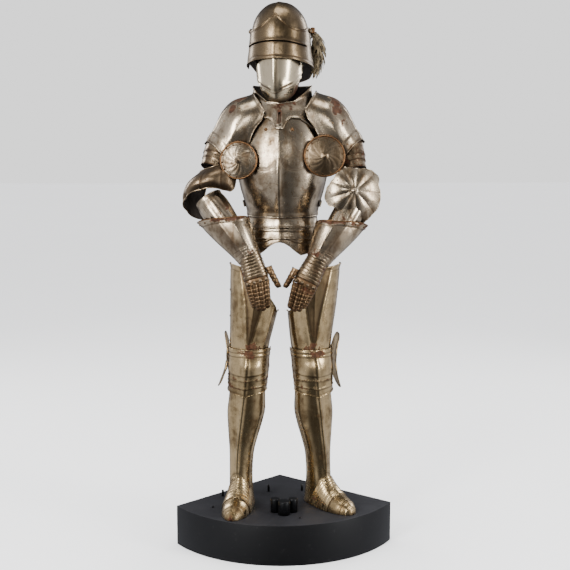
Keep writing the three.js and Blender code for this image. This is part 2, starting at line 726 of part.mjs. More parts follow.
function buildArm(figure, name, arm) {
  const { side } = arm;
  const outward = [side, 0, 0];

  const slope = SHOULDER_SLOPE * DEG;
  const root = arm.pauldron.at;
  const tip = [root[0] + side * Math.cos(slope), root[1], root[2] - Math.sin(slope)];
  const shoulder = limbGroup(figure, root, tip, [0, -1, 0]);
  add(shoulder, `${name}_pauldron`, pauldronGeometry(side), steel);

  const upper = limbGroup(figure, arm.shoulder, arm.elbow, [side, -0.7, 0]);
  const lames = [
    { z: [122, 148], off: -0.8 * LAP },
    { z: [142, 168], off: -1.8 * LAP },
    { z: [162, 190], off: -2.8 * LAP },
  ];
  lames.forEach(({ z, off }, i) => {
    const geometry = plate(UPPER_ARM_FORM, { angles: [-112, 112], z, off, columns: 12, steps: 1 });
    add(upper, `${name}_arm_lame_${i + 1}`, geometry, steel);
  });

  const { at, radius, face } = arm.besagew;
  const disc = facingGroup(figure, { at, face, up: [0, 0, 1] });
  const round = Array.from({ length: 12 }, () => radius);
  add(
    disc,
    `${name}_besagew`,
    dish({ reach: round, wrap: { inner: 900, outer: 900, length: 900 }, cone: 13, columns: 20, steps: 2 }),
    steel,
  );

  if (side < 0) {
    add(figure, `${name}_couter`, bellGeometry(), steel);
  } else {
    const fan = dish({ ...ELBOW_FAN, flutes: 8, depth: 2, columns: 24, steps: 4 });
    add(facingGroup(figure, arm.shell), `${name}_couter`, fan, steel);
  }

  const forearm = limbGroup(figure, arm.elbow, arm.wrist, outward.map((v, i) => v * 0.2 + [0, -1, 0][i]));
  const length = new THREE.Vector3(...arm.elbow).distanceTo(new THREE.Vector3(...arm.wrist));
  add(
    forearm,
    `${name}_lower_cannon`,
    plate(FOREARM_FORM, { angles: [-180, 180], z: [24, 190], columns: 16, steps: 2, closed: true }),
    steel,
  );
  // The rim slants: it stands higher on the outer side of the arm.
  const rim = (angle) => 115 + 45 * side * Math.sin(angle * DEG);
  const cuffAt = (u, v, lift) => {
    const place = (a, share) => {
      const point = onForm(CUFF_FORM, a, share);
      return point.setZ(mix(rim(a), length - 10, share));
    };
    return lifted(place, mix(-180, 180, u), v, 1.5, 0.02, lift);
  };
  add(forearm, `${name}_gauntlet_cuff`, wall(18, 3, cuffAt, { closed: true }), steel);
  buildHand(figure, name, arm);
}

const HAND_FORM = form({ p: 2.6 }, [
  { z: -12, w: 31, f: 26, b: 26 },
  { z: 20, w: 34, f: 23, b: 23 },
  { z: 60, w: 37, f: 22, b: 20 },
  { z: 100, w: 41, f: 20, b: 18 },
]);
const FINGER_SPREAD = [-31, -10.5, 10.5, 31];
const FINGER_BEND = 9;
const FINGER_CLOSING = 0.72; // the tips stand this much closer than the roots
const KNUCKLE_RIDGE = 4; // radius of the bar across the knuckles
const FINGER_DROP = 0.012; // how much shorter the outer fingers are, per square of their spread

// The scales over a finger: half a tube from one point to another, raised in the middle.
function fingerGeometry(from, to, across, half) {
  const start = new THREE.Vector3(...from);
  const end = new THREE.Vector3(...to);
  const axis = end.clone().sub(start);
  const side = new THREE.Vector3(...across).normalize();
  const up = axis.clone().normalize().cross(side).normalize();
  if (up.y > 0) up.negate();
  const place = (u, v) => {
    const angle = mix(-100, 100, u) * DEG;
    const size = half * (1 - 0.25 * v);
    const rise = FINGER_BEND * 4 * v * (1 - v);
    return start
      .clone()
      .addScaledVector(axis, v)
      .addScaledVector(side, size * Math.sin(angle))
      .addScaledVector(up, size * 0.9 * Math.cos(angle) + rise);
  };
  return wall(6, 3, (u, v, lift) => lifted(place, u, v, 0.02, 0.02, lift));
}

function buildHand(figure, name, arm) {
  const knuckles = new THREE.Vector3(...arm.knuckles);
  const hand = limbGroup(figure, arm.wrist, arm.knuckles, [0, -1, 0.3]);
  const length = knuckles.distanceTo(new THREE.Vector3(...arm.wrist));
  const back = [-96, 96];
  const metacarpal = plate(HAND_FORM, { angles: back, z: [-4, length - 14], off: LAP, columns: 8, steps: 2 });
  add(hand, `${name}_hand_plate`, metacarpal, rustySteel);

  hand.updateMatrix();
  const strip = plate(HAND_FORM, { angles: back, z: [length - 20, length + 6], columns: 8, steps: 1 });
  const across = new THREE.Vector3(...arm.across).normalize();
  const fingers = FINGER_SPREAD.map((spread) => {
    const root = knuckles.clone().addScaledVector(across, spread).add(new THREE.Vector3(0, -11, 2));
    const tip = new THREE.Vector3(...arm.fingertips);
    tip.x += FINGER_CLOSING * spread;
    tip.z += FINGER_DROP * spread * spread;
    return fingerGeometry(root.toArray(), tip.toArray(), arm.across, 10);
  });
  const ridge = new THREE.CylinderGeometry(KNUCKLE_RIDGE, KNUCKLE_RIDGE, 66, 10);
  ridge.applyQuaternion(new THREE.Quaternion().setFromUnitVectors(new THREE.Vector3(0, 1, 0), across));
  ridge.translate(knuckles.x, knuckles.y - 20, knuckles.z + 3);
  const plates = join(strip.applyMatrix4(hand.matrix), ridge, ...fingers);
  add(figure, `${name}_finger_plates`, plates, rustySteel);
  const { from, to } = arm.thumb;
  add(figure, `${name}_thumb_plates`, fingerGeometry(from, to, arm.across, 10), rustySteel);
}

// ---------------------------------------------------------------- legs
function legForm(side) {
  const line = (z) => sample(LEG_LINES[side], "z", z);
  return LEG_GIRTHS.map((row) => ({ ...plain, p: 2.25, k: 5, ...row, ...line(row.z), z: row.z }));
}

// The wing beside the knee has an upper and a lower lobe that bend away from the leg.
const KNEE_WING = {
  reach: [22, 26, 52, 96, 100, 80, 62, 82, 106, 104, 62, 26],
  wrap: { inner: 300, outer: 300, length: -260 },
  columns: 20,
  steps: 2,
};
const KNEE_WINGS = {
  right: { at: [-207, 52, 536], face: [-1, 0.1, 0.12], up: [0, 0, 1] },
  left: { at: [172, 48, 534], face: [1, 0.25, 0.02], up: [0, 0, 1] },
};

function buildLeg(figure, name, out) {
  const rows = legForm(name);
  const outer = (angle) => angle * out; // + towards the outer side
  const cuisseTop = [[-105, 716], [-62, 722], [-24, 790], [2, 858], [20, 878], [60, 886], [105, 884]];
  add(
    figure,
    `${name}_cuisse`,
    plate(rows, {
      angles: [-105, 105],
      z: [572, (a) => along(cuisseTop, outer(a))],
      columns: 14,
      steps: 4,
    }),
    steel,
  );
  const wing = facingGroup(figure, KNEE_WINGS[name]);
  add(wing, `${name}_poleyn_wing`, mirrored(dish(KNEE_WING), -out), steel);
  const knee = { angles: [-92, 92], columns: 12 };
  add(figure, `${name}_poleyn`, plate(rows, { ...knee, z: [462, 588], off: LAP, steps: 3 }), steel);
  const lameEdge = [[0, 416], [30, 424], [92, 436]];
  const lame = { ...knee, z: [(a) => along(lameEdge, Math.abs(a)), 480], off: 2 * LAP, steps: 1 };
  add(figure, `${name}_poleyn_lame`, plate(rows, lame), steel);
  const shin = [-90 + SEAM, 90 - SEAM];
  const calf = [90 + SEAM, 270 - SEAM];
  const instep = [[0, 118], [30, 110], [50, 90], [70, 56], [88, 24]];
  add(
    figure,
    `${name}_greave_front`,
    plate(rows, { angles: shin, z: [(a) => along(instep, Math.abs(a)), 452], columns: 10, steps: 6 }),
    steel,
  );
  const greaveBack = plate(rows, { angles: calf, z: [3, 430], columns: 10, steps: 7 });
  add(figure, `${name}_greave_back`, greaveBack, steel);
}

function footWall(name, first, last, off, pole) {
  const { heel, turn, length } = FEET[name];
  const turned = turn * DEG;
  const rows = FOOT_ARCHES.map((row, i) => ({ place: i, ...row }));
  const place = (u, v) => {
    const arch = sample(rows, "place", v);
    const angle = mix(-90, 90, u) * DEG;
    const lift = Math.cos(angle) ** 0.85;
    const across = arch.w * Math.sin(angle);
    const forward = length * mix(arch.base, arch.top, lift);
    return new THREE.Vector3(
      heel[0] + forward * Math.sin(turned) + across * Math.cos(turned),
      heel[1] - forward * Math.cos(turned) + across * Math.sin(turned),
      off + 1 + lift * arch.h,
    );
  };
  const lay = (u, v, lift) => {
    const inside = THREE.MathUtils.clamp(u, 0.012, 0.988);
    const point = lifted(place, inside, mix(last, first, v), 0.01, 0.03, lift);
    if (u < 0.012 || u > 0.988) point.z = off + 0.4;
    return point;
  };
  return wall(10, last - first, lay);
}

function buildFoot(figure, name) {
  add(figure, `${name}_sabaton_lames`, footWall(name, 0, 3, LAP), steel);
  add(figure, `${name}_sabaton_toe`, footWall(name, 3, 7, 0), steel);
}

// ---------------------------------------------------------------- the whole suit
add(suit, "plinth", plinthGeometry(), black);
const figure = turnedGroup(suit, FIGURE);
add(figure, "sword_rest", swordRest(), black);
buildHead(figure);
buildTrunk(figure);
for (const [name, arm] of Object.entries(ARMS)) buildArm(figure, name, arm);
buildLeg(figure, "right", -1);
buildLeg(figure, "left", 1);
for (const name of ["right", "left"]) buildFoot(figure, name);

export default suit;
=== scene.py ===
import math

import bmesh
import bpy
import numpy as np
from mathutils import Matrix, Vector


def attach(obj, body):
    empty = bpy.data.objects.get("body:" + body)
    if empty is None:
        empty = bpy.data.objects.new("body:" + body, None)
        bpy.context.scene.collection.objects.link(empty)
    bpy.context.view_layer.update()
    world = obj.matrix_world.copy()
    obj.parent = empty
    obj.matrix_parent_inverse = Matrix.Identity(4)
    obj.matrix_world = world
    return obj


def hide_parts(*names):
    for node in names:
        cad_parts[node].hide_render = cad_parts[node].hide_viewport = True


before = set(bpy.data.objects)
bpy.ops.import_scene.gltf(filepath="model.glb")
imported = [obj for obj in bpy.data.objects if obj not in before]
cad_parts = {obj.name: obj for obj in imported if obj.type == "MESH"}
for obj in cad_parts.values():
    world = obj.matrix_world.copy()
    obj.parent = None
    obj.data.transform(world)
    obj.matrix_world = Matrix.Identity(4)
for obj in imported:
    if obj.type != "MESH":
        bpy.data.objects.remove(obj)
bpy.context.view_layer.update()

# The looks of a Gothic suit of plate armour on a quarter-round plinth. Shapes are worked out in
# millimetres in the same frames as the solids, +Z up and the suit facing -Y. Right is the wearer's.
MM = 0.001
DEG = math.pi / 180
STEEL = 1.8
LAP = 3.6
SEAM = 2
PLINTH = dict(half_width=391, apex=348, bow=229, height=145)
CAMERA = dict(distance=3800, height=1334, lens=68.4, dip=7.88, turn=-3)
THIGH_STRAPS, CALF_STRAP = (596, 672), 500
BACKGROUND = 1.48  # strength of the white that the camera sees
SKY = dict(middle=0.1, more_aside=0.85, aside_from=0.18, aside_to=0.8)  # what lights the suit, brighter aside
FLOOR_WASH = dict(energy=4.6, angle=1.2)  # a sun that lights only the floor
FINENESS = 0.64  # share of the grid steps named below that the plates are made with


# ---------------------------------------------------------------- frames
def turned(at, turn=0):
    return Matrix.Translation(Vector(at)) @ Matrix.Rotation(turn * DEG, 4, "Z")


FIGURE = turned((2.4, -70.6, PLINTH["height"]), -3)
TRUNK = FIGURE @ turned((-9, 15, 0), -5)
HEAD = FIGURE @ turned((-17, -5, 0), -10)


def basis(across, back, axis, at):
    columns = [Vector(v).to_4d() for v in (across, back, axis)]
    for column in columns:
        column.w = 0
    matrix = Matrix(columns + [Vector(at).to_4d()])
    return matrix.transposed()


def limb(start, end, facing):
    """A frame whose +Z runs from start to end and whose -Y faces as near as it can to facing."""
    axis = (Vector(end) - Vector(start)).normalized()
    back = -Vector(facing)
    back = (back - axis * back.dot(axis)).normalized()
    return FIGURE @ basis(back.cross(axis), back, axis, start)


def facing_frame(at, face, up):
    forward = Vector(face).normalized()
    upward = Vector(up)
    upward = (upward - forward * upward.dot(forward)).normalized()
    return FIGURE @ basis((-forward).cross(upward), -forward, upward, at)


# ---------------------------------------------------------------- camera, before any piece
camera = bpy.data.objects.new("camera", bpy.data.cameras.new("camera"))
bpy.context.scene.collection.objects.link(camera)
bpy.context.scene.camera = camera
camera.data.lens = CAMERA["lens"]
camera.data.sensor_width = 36
camera.location = (FIGURE @ Vector((0, -CAMERA["distance"], CAMERA["height"]))) * MM
camera.rotation_euler = ((90 - CAMERA["dip"]) * DEG, 0, CAMERA["turn"] * DEG)


# ---------------------------------------------------------------- rings
class Form:
    """A stack of rings, given by a table whose first column is z; see point()."""

    PLAIN = dict(x=0, y=0, turn=0, p=2.2, k=0)

    def __init__(self, columns, table, **shared):
        names = columns.split()
        count = len(table)
        self.data = {key: np.full(count, float(value)) for key, value in {**self.PLAIN, **shared}.items()}
        for i, name in enumerate(names):
            self.data[name] = np.array([row[i] for row in table], float)
        self.by = self.data.pop(names[0])

    def sample(self, value):
        """Every column at a value of the first one, on a smooth curve through the rows."""
        by = self.by
        i = np.clip(np.searchsorted(by, value, side="right") - 1, 0, len(by) - 2)
        span = by[i + 1] - by[i]
        t = np.clip((value - by[i]) / span, 0, 1)
        before, after = np.maximum(i - 1, 0), np.minimum(i + 2, len(by) - 1)
        out = {}
        for key, v in self.data.items():
            slope_a = (v[i + 1] - v[before]) / (by[i + 1] - by[before]) * span
            slope_b = (v[after] - v[i]) / (by[after] - by[i]) * span
            ends = (2 * t**3 - 3 * t**2 + 1) * v[i] + (3 * t**2 - 2 * t**3) * v[i + 1]
            out[key] = ends + (t**3 - 2 * t**2 + t) * slope_a + (t**3 - t**2) * slope_b
        return out

    def point(self, angle, z, ridge=16):
        """The point of the ring at z that lies at an angle: 0 in front, 90 towards +X, 180 behind."""
        ring = self.sample(z)
        a = angle * DEG
        depth = np.where(np.cos(a) > 0, ring["f"], ring["b"])
        side = np.abs(np.sin(a) / ring["w"]) ** ring["p"]
        front = np.abs(np.cos(a) / depth) ** ring["p"]
        from_front = np.abs((angle + 180) % 360 - 180)
        reach = (side + front) ** (-1 / ring["p"]) + ring["k"] * np.exp(-from_front / ridge)
        a = a + ring["turn"] * DEG
        return np.stack([ring["x"] + reach * np.sin(a), ring["y"] - reach * np.cos(a), z + 0 * a], -1)


TORSO = Form("z w f b", [
    (1030, 122, 110, 92), (1052, 118, 108, 88), (1100, 129, 126, 94), (1160, 146, 144, 103),
    (1230, 158, 152, 112), (1300, 160, 144, 116), (1360, 150, 124, 115), (1410, 130, 100, 107),
    (1440, 110, 84, 97), (1465, 99, 75, 88), (1505, 94, 72, 84),
], p=2.25, k=5)
SKIRT = Form("z w f b", [
    (870, 168, 128, 142), (920, 160, 127, 132), (970, 147, 122, 118), (1010, 134, 116, 104),
    (1040, 125, 112, 95), (1070, 122, 112, 92),
], p=2.3, k=3)
SKULL = Form("z w f b", [
    (1505, 112, 126, 196), (1535, 110, 125, 174), (1560, 108, 124, 156), (1590, 105, 121, 138),
    (1620, 101, 117, 126), (1655, 98, 112, 118), (1690, 94, 107, 112), (1722, 85, 96, 101),
    (1747, 70, 79, 84), (1765, 52, 58, 62), (1777, 31, 35, 38), (1784, 0.6, 0.6, 0.6),
], y=4, p=2.1)
BEVOR = Form("z w f", [
    (1436, 26, 50), (1452, 45, 77), (1470, 55, 88), (1500, 65, 97), (1545, 73, 103), (1610, 78, 103),
], b=60, k=6)
PAULDRON = Form("z x y w f b", [
    (-24, 3, 0, 74, 104, 108), (-8, 3, 0, 80, 110, 112), (45, 12, 0, 92, 122, 116),
    (95, 8, -2, 92, 124, 108), (150, -4, -12, 80, 110, 94), (212, -16, -34, 69, 84, 80),
])
UPPER_ARM = Form("z w f b", [(100, 59, 60, 58), (150, 59, 59, 58), (200, 58, 58, 57), (240, 56, 56, 55)], p=2)
FOREARM = Form("z w f b", [
    (10, 44, 46, 42), (60, 49, 49, 45), (120, 46, 46, 42), (200, 36, 35, 33), (262, 31, 29, 28),
], p=2)
CUFF = Form("z w f b", [
    (0, 74, 62, 60), (0.3, 66, 57, 54), (0.6, 54, 48, 45), (0.85, 43, 36, 34), (1, 39, 31, 30),
], p=2.4, k=4)
HAND = Form("z w f b", [(-12, 31, 26, 26), (20, 34, 23, 23), (60, 37, 22, 20), (100, 41, 20, 18)], p=2.6)
LEG_GIRTHS = [
    (0, 43, 60, 62), (40, 40, 56, 56), (100, 38, 48, 47), (150, 39, 43, 47), (200, 42, 43, 52),
    (250, 50, 46, 62), (300, 59, 50, 74), (350, 65, 54, 82), (400, 63, 54, 76), (440, 61, 56, 66),
    (480, 63, 62, 58), (515, 65, 68, 56), (550, 65, 67, 60), (600, 69, 70, 70), (660, 76, 77, 79),
    (740, 85, 84, 86), (820, 88, 88, 88), (900, 88, 88, 88),
]
LEG_LINES = {
    "right": [
        (0, -158, 16, -12), (100, -160, 20, -16), (200, -157, 22, -16), (350, -141, 16, -12),
        (515, -130, -2, -4), (600, -126, 2, -2), (740, -108, 8, 0), (900, -103, 20, 0),
    ],
    "left": [
        (0, 124, 30, 38), (100, 122, 26, 36), (200, 119, 20, 30), (350, 105, 10, 22),
        (515, 97, -4, 12), (600, 92, -2, 8), (740, 95, 6, 4), (900, 107, 20, 2),
    ],
}


def leg_form(side):
    line = Form("z x y turn", LEG_LINES[side])
    table = []
    for z, w, f, b in LEG_GIRTHS:
        at = line.sample(np.array(float(z)))
        table.append((z, w, f, b, float(at["x"]), float(at["y"]), float(at["turn"])))
    return Form("z w f b x y turn", table, p=2.25, k=5)


# ---------------------------------------------------------------- surfaces over (u, v)
def mix(a, b, t):
    return a + (b - a) * t


def smooth(low, high, value):
    t = np.clip((value - low) / (high - low), 0, 1)
    return t * t * (3 - 2 * t)


def bump(distance, width):
    """1 at a distance of 0, falling away over a width."""
    return np.exp(-((distance / width) ** 2))


def crease(distance, width):
    """1 at a distance of 0, with a sharp crest."""
    return np.exp(-np.abs(distance) / width)


def along(pairs, value):
    return np.interp(value, [p[0] for p in pairs], [p[1] for p in pairs])


def grid_normals(points, closed=False, flip=False):
    """Outward normals of a grid of points, whose columns run to the right seen from outside."""
    if closed:
        wrapped = np.concatenate([points[:, -2:-1], points, points[:, 1:2]], 1)
        across = (wrapped[:, 2:] - wrapped[:, :-2])
    else:
        across = np.gradient(points, axis=1)
    n = np.cross(across, np.gradient(points, axis=0))
    size = np.linalg.norm(n, axis=-1, keepdims=True)
    n = n / np.maximum(size, 1e-9)
    for row, beside in ((0, 1), (-1, -2)):
        if size[row].max() < 1e-3 or np.ptp(points[row], axis=0).max() < 2:
            mean = n[beside].mean(0)
            n[row] = mean / np.linalg.norm(mean)
    return -n if flip else n


class Skin:
    """Reads the outer skin of a wall at (u, v), so that studs and beads sit on it."""

    def __init__(self, us, vs, points, normals):
        self.us, self.vs, self.points, self.normals = us, vs, points, normals

    def __call__(self, u, v, lift=0.0):
        x = np.interp(u, self.us, np.arange(len(self.us)))
        y = np.interp(v, self.vs, np.arange(len(self.vs)))
        i = np.minimum(np.floor(x).astype(int), len(self.us) - 2)
        j = np.minimum(np.floor(y).astype(int), len(self.vs) - 2)
        s, t = (x - i)[..., None], (y - j)[..., None]
        read = lambda g: mix(mix(g[j, i], g[j, i + 1], s), mix(g[j + 1, i], g[j + 1, i + 1], s), t)
        return read(self.points) + read(self.normals) * lift


def spaced(count, low=0.0, high=1.0, tight=True):
    """Even steps with one more step just inside each end, which keeps a plate's edge crisp."""
    count = max(3, round(count * FINENESS))
    values = np.linspace(low, high, count + 1)
    if not tight:
        return values
    close = (high - low) / count * 0.22
    return np.sort(np.append(values, [low + close, high - close]))


def grid_cells(index):
    """The four-cornered faces between the rows and columns of a grid of point numbers."""
    return np.stack([index[:-1, :-1], index[:-1, 1:], index[1:, 1:], index[1:, :-1]], -1).reshape(-1, 4)


def cap_cells(ring):
    """The faces that close a ring of points, in strips across it."""
    last = len(ring) - 1
    strips = range(len(ring) // 2 - 1)
    return np.array([(ring[i], ring[i + 1], ring[last - 1 - i], ring[last - i]) for i in strips], int)


class Piece:
    """Gathers walls, tubes and studs into one mesh, with a material for each face and three data maps:
    wear is (distance in from the plate's edge, 1 inside); the second is (painted shade and dirt, rust); lay
    is (across, along)."""

    def __init__(self, name, matrix=FIGURE, mirror=False):
        self.name = name
        self.matrix = matrix
        self.mirror = mirror
        self.points, self.faces, self.slots = [], [], []
        self.maps = {"wear": [], "soil": [], "lay": []}
        self.count = 0

    def put(self, points, faces, slot, wear=(1, 0), soil=(0, 0), lay=None):
        points = np.asarray(points, float).reshape(-1, 3)
        faces = np.asarray(faces, int)
        volume = np.einsum(
            "ij,ij->i", points[faces[:, 0]], np.cross(points[faces[:, 1]], points[faces[:, 2]])
        ).sum()
        volume += np.einsum(
            "ij,ij->i", points[faces[:, 0]], np.cross(points[faces[:, 2]], points[faces[:, 3]])
        ).sum()
        if (volume < 0) != self.mirror:
            faces = faces[:, ::-1]
        n = len(points)
        flat = points[:, [0, 2]] * MM if lay is None else lay
        for key, value in (("wear", wear), ("soil", soil), ("lay", flat)):
            self.maps[key].append(np.broadcast_to(np.asarray(value, float), (n, 2)))
        self.points.append(points)
        self.faces.append(faces + self.count)
        self.slots.append(np.full(len(faces), slot))
        self.count += n

    def wall(self, place, us, vs, relief=None, soil=None, rust=None, thick=STEEL,
             closed=False, hole=None, slot=0, black=1.0, flip=False):
        """A plate over the grid us by vs, with rounded edges. It returns its outer skin."""
        u, v = np.meshgrid(us, vs)
        base = place(u, v)
        n = grid_normals(base, closed, flip)
        if relief is not None:
            base = base + n * relief(u, v)[..., None]
            n = grid_normals(base, closed, flip)
        if closed:
            base[:, -1], n[:, -1] = base[:, 0], n[:, 0]
        outer, inner = base + n * thick, base
        rows, cols = u.shape
        across = np.zeros(u.shape)
        across[:, 1:] = np.cumsum(np.linalg.norm(np.diff(outer, axis=1), axis=-1), axis=1)
        upward = np.zeros(u.shape)
        upward[1:] = np.cumsum(np.linalg.norm(np.diff(outer, axis=0), axis=-1), axis=0)
        far = np.full(u.shape, 1e3)
        sides = (upward, across[:, -1:] - across, upward[-1:] - upward, across)
        for i, distance in enumerate(sides):
            if not (closed and i in (1, 3)):
                far = np.minimum(far, distance)
        wear = np.stack([np.clip(far / 30, 0, 1), np.zeros(u.shape)], -1)
        # the piece's painted shade and dirt, and beside it its rust
        shade_and_dirt = np.zeros(u.shape) if soil is None else soil(u, v)
        rusty = np.zeros(u.shape) if rust is None else rust(u, v)
        marks = np.stack([shade_and_dirt, rusty], -1)
        lay = np.stack([across, upward], -1) * MM
        index = np.arange(rows * cols).reshape(rows, cols)
        if closed:
            index[:, -1] = index[:, 0]
        cell = grid_cells(index)
        kept = np.ones(len(cell), bool)
        if hole is not None:
            middle = [0.25 * (g[:-1, :-1] + g[:-1, 1:] + g[1:, 1:] + g[1:, :-1]) for g in (u, v)]
            kept = ~hole(*middle).reshape(-1)
        cell = cell[kept]
        total = rows * cols
        edges = {}
        for corner in cell:
            for i in range(4):
                a, b = int(corner[i]), int(corner[(i + 1) % 4])
                if a != b:
                    edges[(a, b)] = True
        border = [e for e in edges if (e[1], e[0]) not in edges]
        flat_outer, flat_n = outer.reshape(-1, 3), n.reshape(-1, 3)
        lean = np.zeros((total, 3))
        for a, b in border:
            side = np.cross(flat_outer[b] - flat_outer[a], flat_n[a] + flat_n[b])
            side /= max(np.linalg.norm(side), 1e-9)
            lean[a] += side
            lean[b] += side
        on_border = sorted({a for e in border for a in e})
        place_of = {a: i for i, a in enumerate(on_border)}
        ids = np.array(on_border, int)
        leaning = lean[ids] / np.maximum(np.linalg.norm(lean[ids], axis=1, keepdims=True), 1e-9)
        middle = (flat_outer[ids] + inner.reshape(-1, 3)[ids]) / 2
        rims = []
        for turn in (45, 90, 135):
            bulge = leaning * math.sin(turn * DEG) + flat_n[ids] * math.cos(turn * DEG)
            rims.append(middle + bulge * thick / 2)
        points = np.concatenate([flat_outer, inner.reshape(-1, 3)] + rims)
        layers = [lambda a: a] + [
            (lambda a, k=k: 2 * total + k * len(ids) + place_of[a]) for k in range(3)
        ] + [lambda a: total + a]
        strips = []
        for a, b in border:
            for top, under in zip(layers, layers[1:]):
                strips.append((top(b), top(a), under(a), under(b)))
        inner_and_edges = np.concatenate([cell[:, ::-1] + total, np.array(strips, int).reshape(-1, 4)])
        inside = wear.copy()
        inside[..., 1] = black
        edge_wear = np.tile([0.0, 0.0], (len(ids) * 3, 1))
        flat = lambda grid: grid.reshape(-1, 2)
        all_wear = np.concatenate([flat(wear), flat(inside), edge_wear])
        all_soil = np.concatenate([flat(marks), flat(marks)] + [flat(marks)[ids]] * 3)
        all_lay = np.concatenate([flat(lay), flat(lay)] + [flat(lay)[ids]] * 3)
        self.put(points, np.concatenate([cell, inner_and_edges]), slot, all_wear, all_soil, all_lay)
        return Skin(us, vs, outer, n)

    def tube(self, path, radius, slot=0, sides=6, closed=False, soil=(0, 0), wear=(0.5, 0)):
        """A round bead along a path of points, with domed ends."""
        path = np.asarray(path, float)
        ahead = np.roll(path, -1, 0) - path
        behind = path - np.roll(path, 1, 0)
        if not closed:
            ahead[-1], behind[0] = behind[-1], ahead[0]
        axis = ahead + behind
        axis /= np.maximum(np.linalg.norm(axis, axis=1, keepdims=True), 1e-9)
        side = np.cross(axis[0], (0.3, 0.2, 1))
        rings = []
        for tangent in axis:
            side = side - tangent * side.dot(tangent)
            side /= max(np.linalg.norm(side), 1e-9)
            other = np.cross(tangent, side)
            turns = np.arange(sides) * 2 * math.pi / sides
            rings.append(np.outer(np.cos(turns), side) + np.outer(np.sin(turns), other))
        rings = np.array(rings)
        sizes = np.broadcast_to(np.asarray(radius, float), (len(path),))
        body = path[:, None] + rings * sizes[:, None, None]
        if not closed:
            first = [path[0] - axis[0] * sizes[0] * 0.7 + rings[0] * sizes[0] * s for s in (0.02, 0.7)]
            last = [path[-1] + axis[-1] * sizes[-1] * 0.7 + rings[-1] * sizes[-1] * s for s in (0.7, 0.02)]
            body = np.concatenate([first, body, last])
        count = len(body)
        index = np.arange(count * sides).reshape(count, sides)
        if closed:
            index = np.concatenate([index, index[:1]])
        index = np.concatenate([index, index[:, :1]], 1)
        cell = grid_cells(index)
        if not closed:
            for ring, order in ((0, 1), (count - 1, -1)):
                cap = index[ring, :sides][::order]
                cell = np.concatenate([cell, cap_cells(cap)])
        self.put(body.reshape(-1, 3), cell, slot, wear, soil)

    def rim(self, skin, count, lift, radius, slot=0, **more):
        """A bead all round the first row of a closed wall."""
        t = np.linspace(0, 1, count)[:-1]
        self.tube(skin(t, 0 * t, lift), radius, slot, closed=True, **more)

    def stud(self, at, normal, radius, height, slot=0, profile=None, sides=10, soil=(0.15, 0)):
        """A domed rivet head standing on a point of a plate."""
        normal = np.asarray(normal, float)
        side = np.cross(normal, (0.31, 0.52, 0.8))
        side /= np.linalg.norm(side)
        other = np.cross(normal, side)
        profile = profile or [(1, -0.5), (1, 0.05), (0.86, 0.5), (0.5, 0.88), (0.02, 1)]
        rings = []
        for r, h in profile:
            turns = np.arange(sides) * 2 * math.pi / sides
            ring = np.outer(np.cos(turns), side) + np.outer(np.sin(turns), other)
            rings.append(np.asarray(at) + ring * radius * r + normal * height * h)
        body = np.array(rings)
        index = np.arange(len(rings) * sides).reshape(len(rings), sides)
        index = np.concatenate([index, index[:, :1]], 1)
        cell = grid_cells(index)
        for ring, order in ((0, -1), (len(rings) - 1, 1)):
            cap = index[ring, :sides][::order]
            cell = np.concatenate([cell, cap_cells(cap)])
        self.put(body.reshape(-1, 3), cell, slot, (0.6, 0), soil)

    def rivets(self, skin, spots, radius=3.2, height=2.2, slot=1, **more):
        """Studs at (u, v) spots of a skin."""
        for u, v in spots:
            a, b = np.array(float(u)), np.array(float(v))
            at = skin(a, b)
            normal = skin(a, b, 1.0) - at
            self.stud(at, normal / np.linalg.norm(normal), radius, height, slot, **more)

    def finish(self, materials, replaces=(), body="suit", slot="armour_steel"):
        points = np.concatenate(self.points)
        if self.mirror:
            points = points * [-1, 1, 1]
        faces = np.concatenate(self.faces)
        matrix = np.array(self.matrix)
        points = (points @ matrix[:3, :3].T + matrix[:3, 3]) * MM
        mesh = bpy.data.meshes.new(self.name)
        mesh.vertices.add(len(points))
        mesh.vertices.foreach_set("co", points.astype(np.float32).ravel())
        mesh.loops.add(faces.size)
        mesh.loops.foreach_set("vertex_index", faces.astype(np.int32).ravel())
        mesh.polygons.add(len(faces))
        mesh.polygons.foreach_set("loop_start", np.arange(len(faces), dtype=np.int32) * 4)
        mesh.polygons.foreach_set("material_index", np.concatenate(self.slots).astype(np.int32))
        for material in materials:
            mesh.materials.append(material)
        mesh.update(calc_edges=True)
        for key, parts in self.maps.items():
            layer = mesh.uv_layers.new(name=key)
            values = np.concatenate(parts)[faces.ravel()]
            layer.data.foreach_set("uv", values.astype(np.float32).ravel())
        work = bmesh.new()
        work.from_mesh(mesh)
        bmesh.ops.remove_doubles(work, verts=work.verts, dist=2e-6)
        bmesh.ops.dissolve_degenerate(work, edges=work.edges, dist=1e-6)
        work.to_mesh(mesh)
        work.free()
        mesh.shade_smooth()
        thing = bpy.data.objects.new(self.name, mesh)
        bpy.context.scene.collection.objects.link(thing)
        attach(thing, body)
        if replaces:
            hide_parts(*replaces)
        return thing


# ---------------------------------------------------------------- materials
class Value:
    """A socket of a material that arithmetic adds Math nodes to."""

    def __init__(self, paint, socket):
        self.paint, self.socket = paint, socket

    def math(self, operation, *others, clamp=False):
        inputs = [self] + list(others)
        return self.paint.node("ShaderNodeMath", *inputs, operation=operation, use_clamp=clamp)

    def __add__(self, other):
        return self.math("ADD", other)

    def __sub__(self, other):
        return self.math("SUBTRACT", other)

    def __mul__(self, other):
        return self.math("MULTIPLY", other)

    def __rsub__(self, other):
        return self.paint.node("ShaderNodeMath", other, self, operation="SUBTRACT")

    __radd__ = __add__
    __rmul__ = __mul__

    def band(self, low, high):
        """0 at low and 1 at high, smoothly."""
        return self.paint.node("ShaderNodeMapRange", self, low, high, 0.0, 1.0,
            interpolation_type="SMOOTHSTEP")


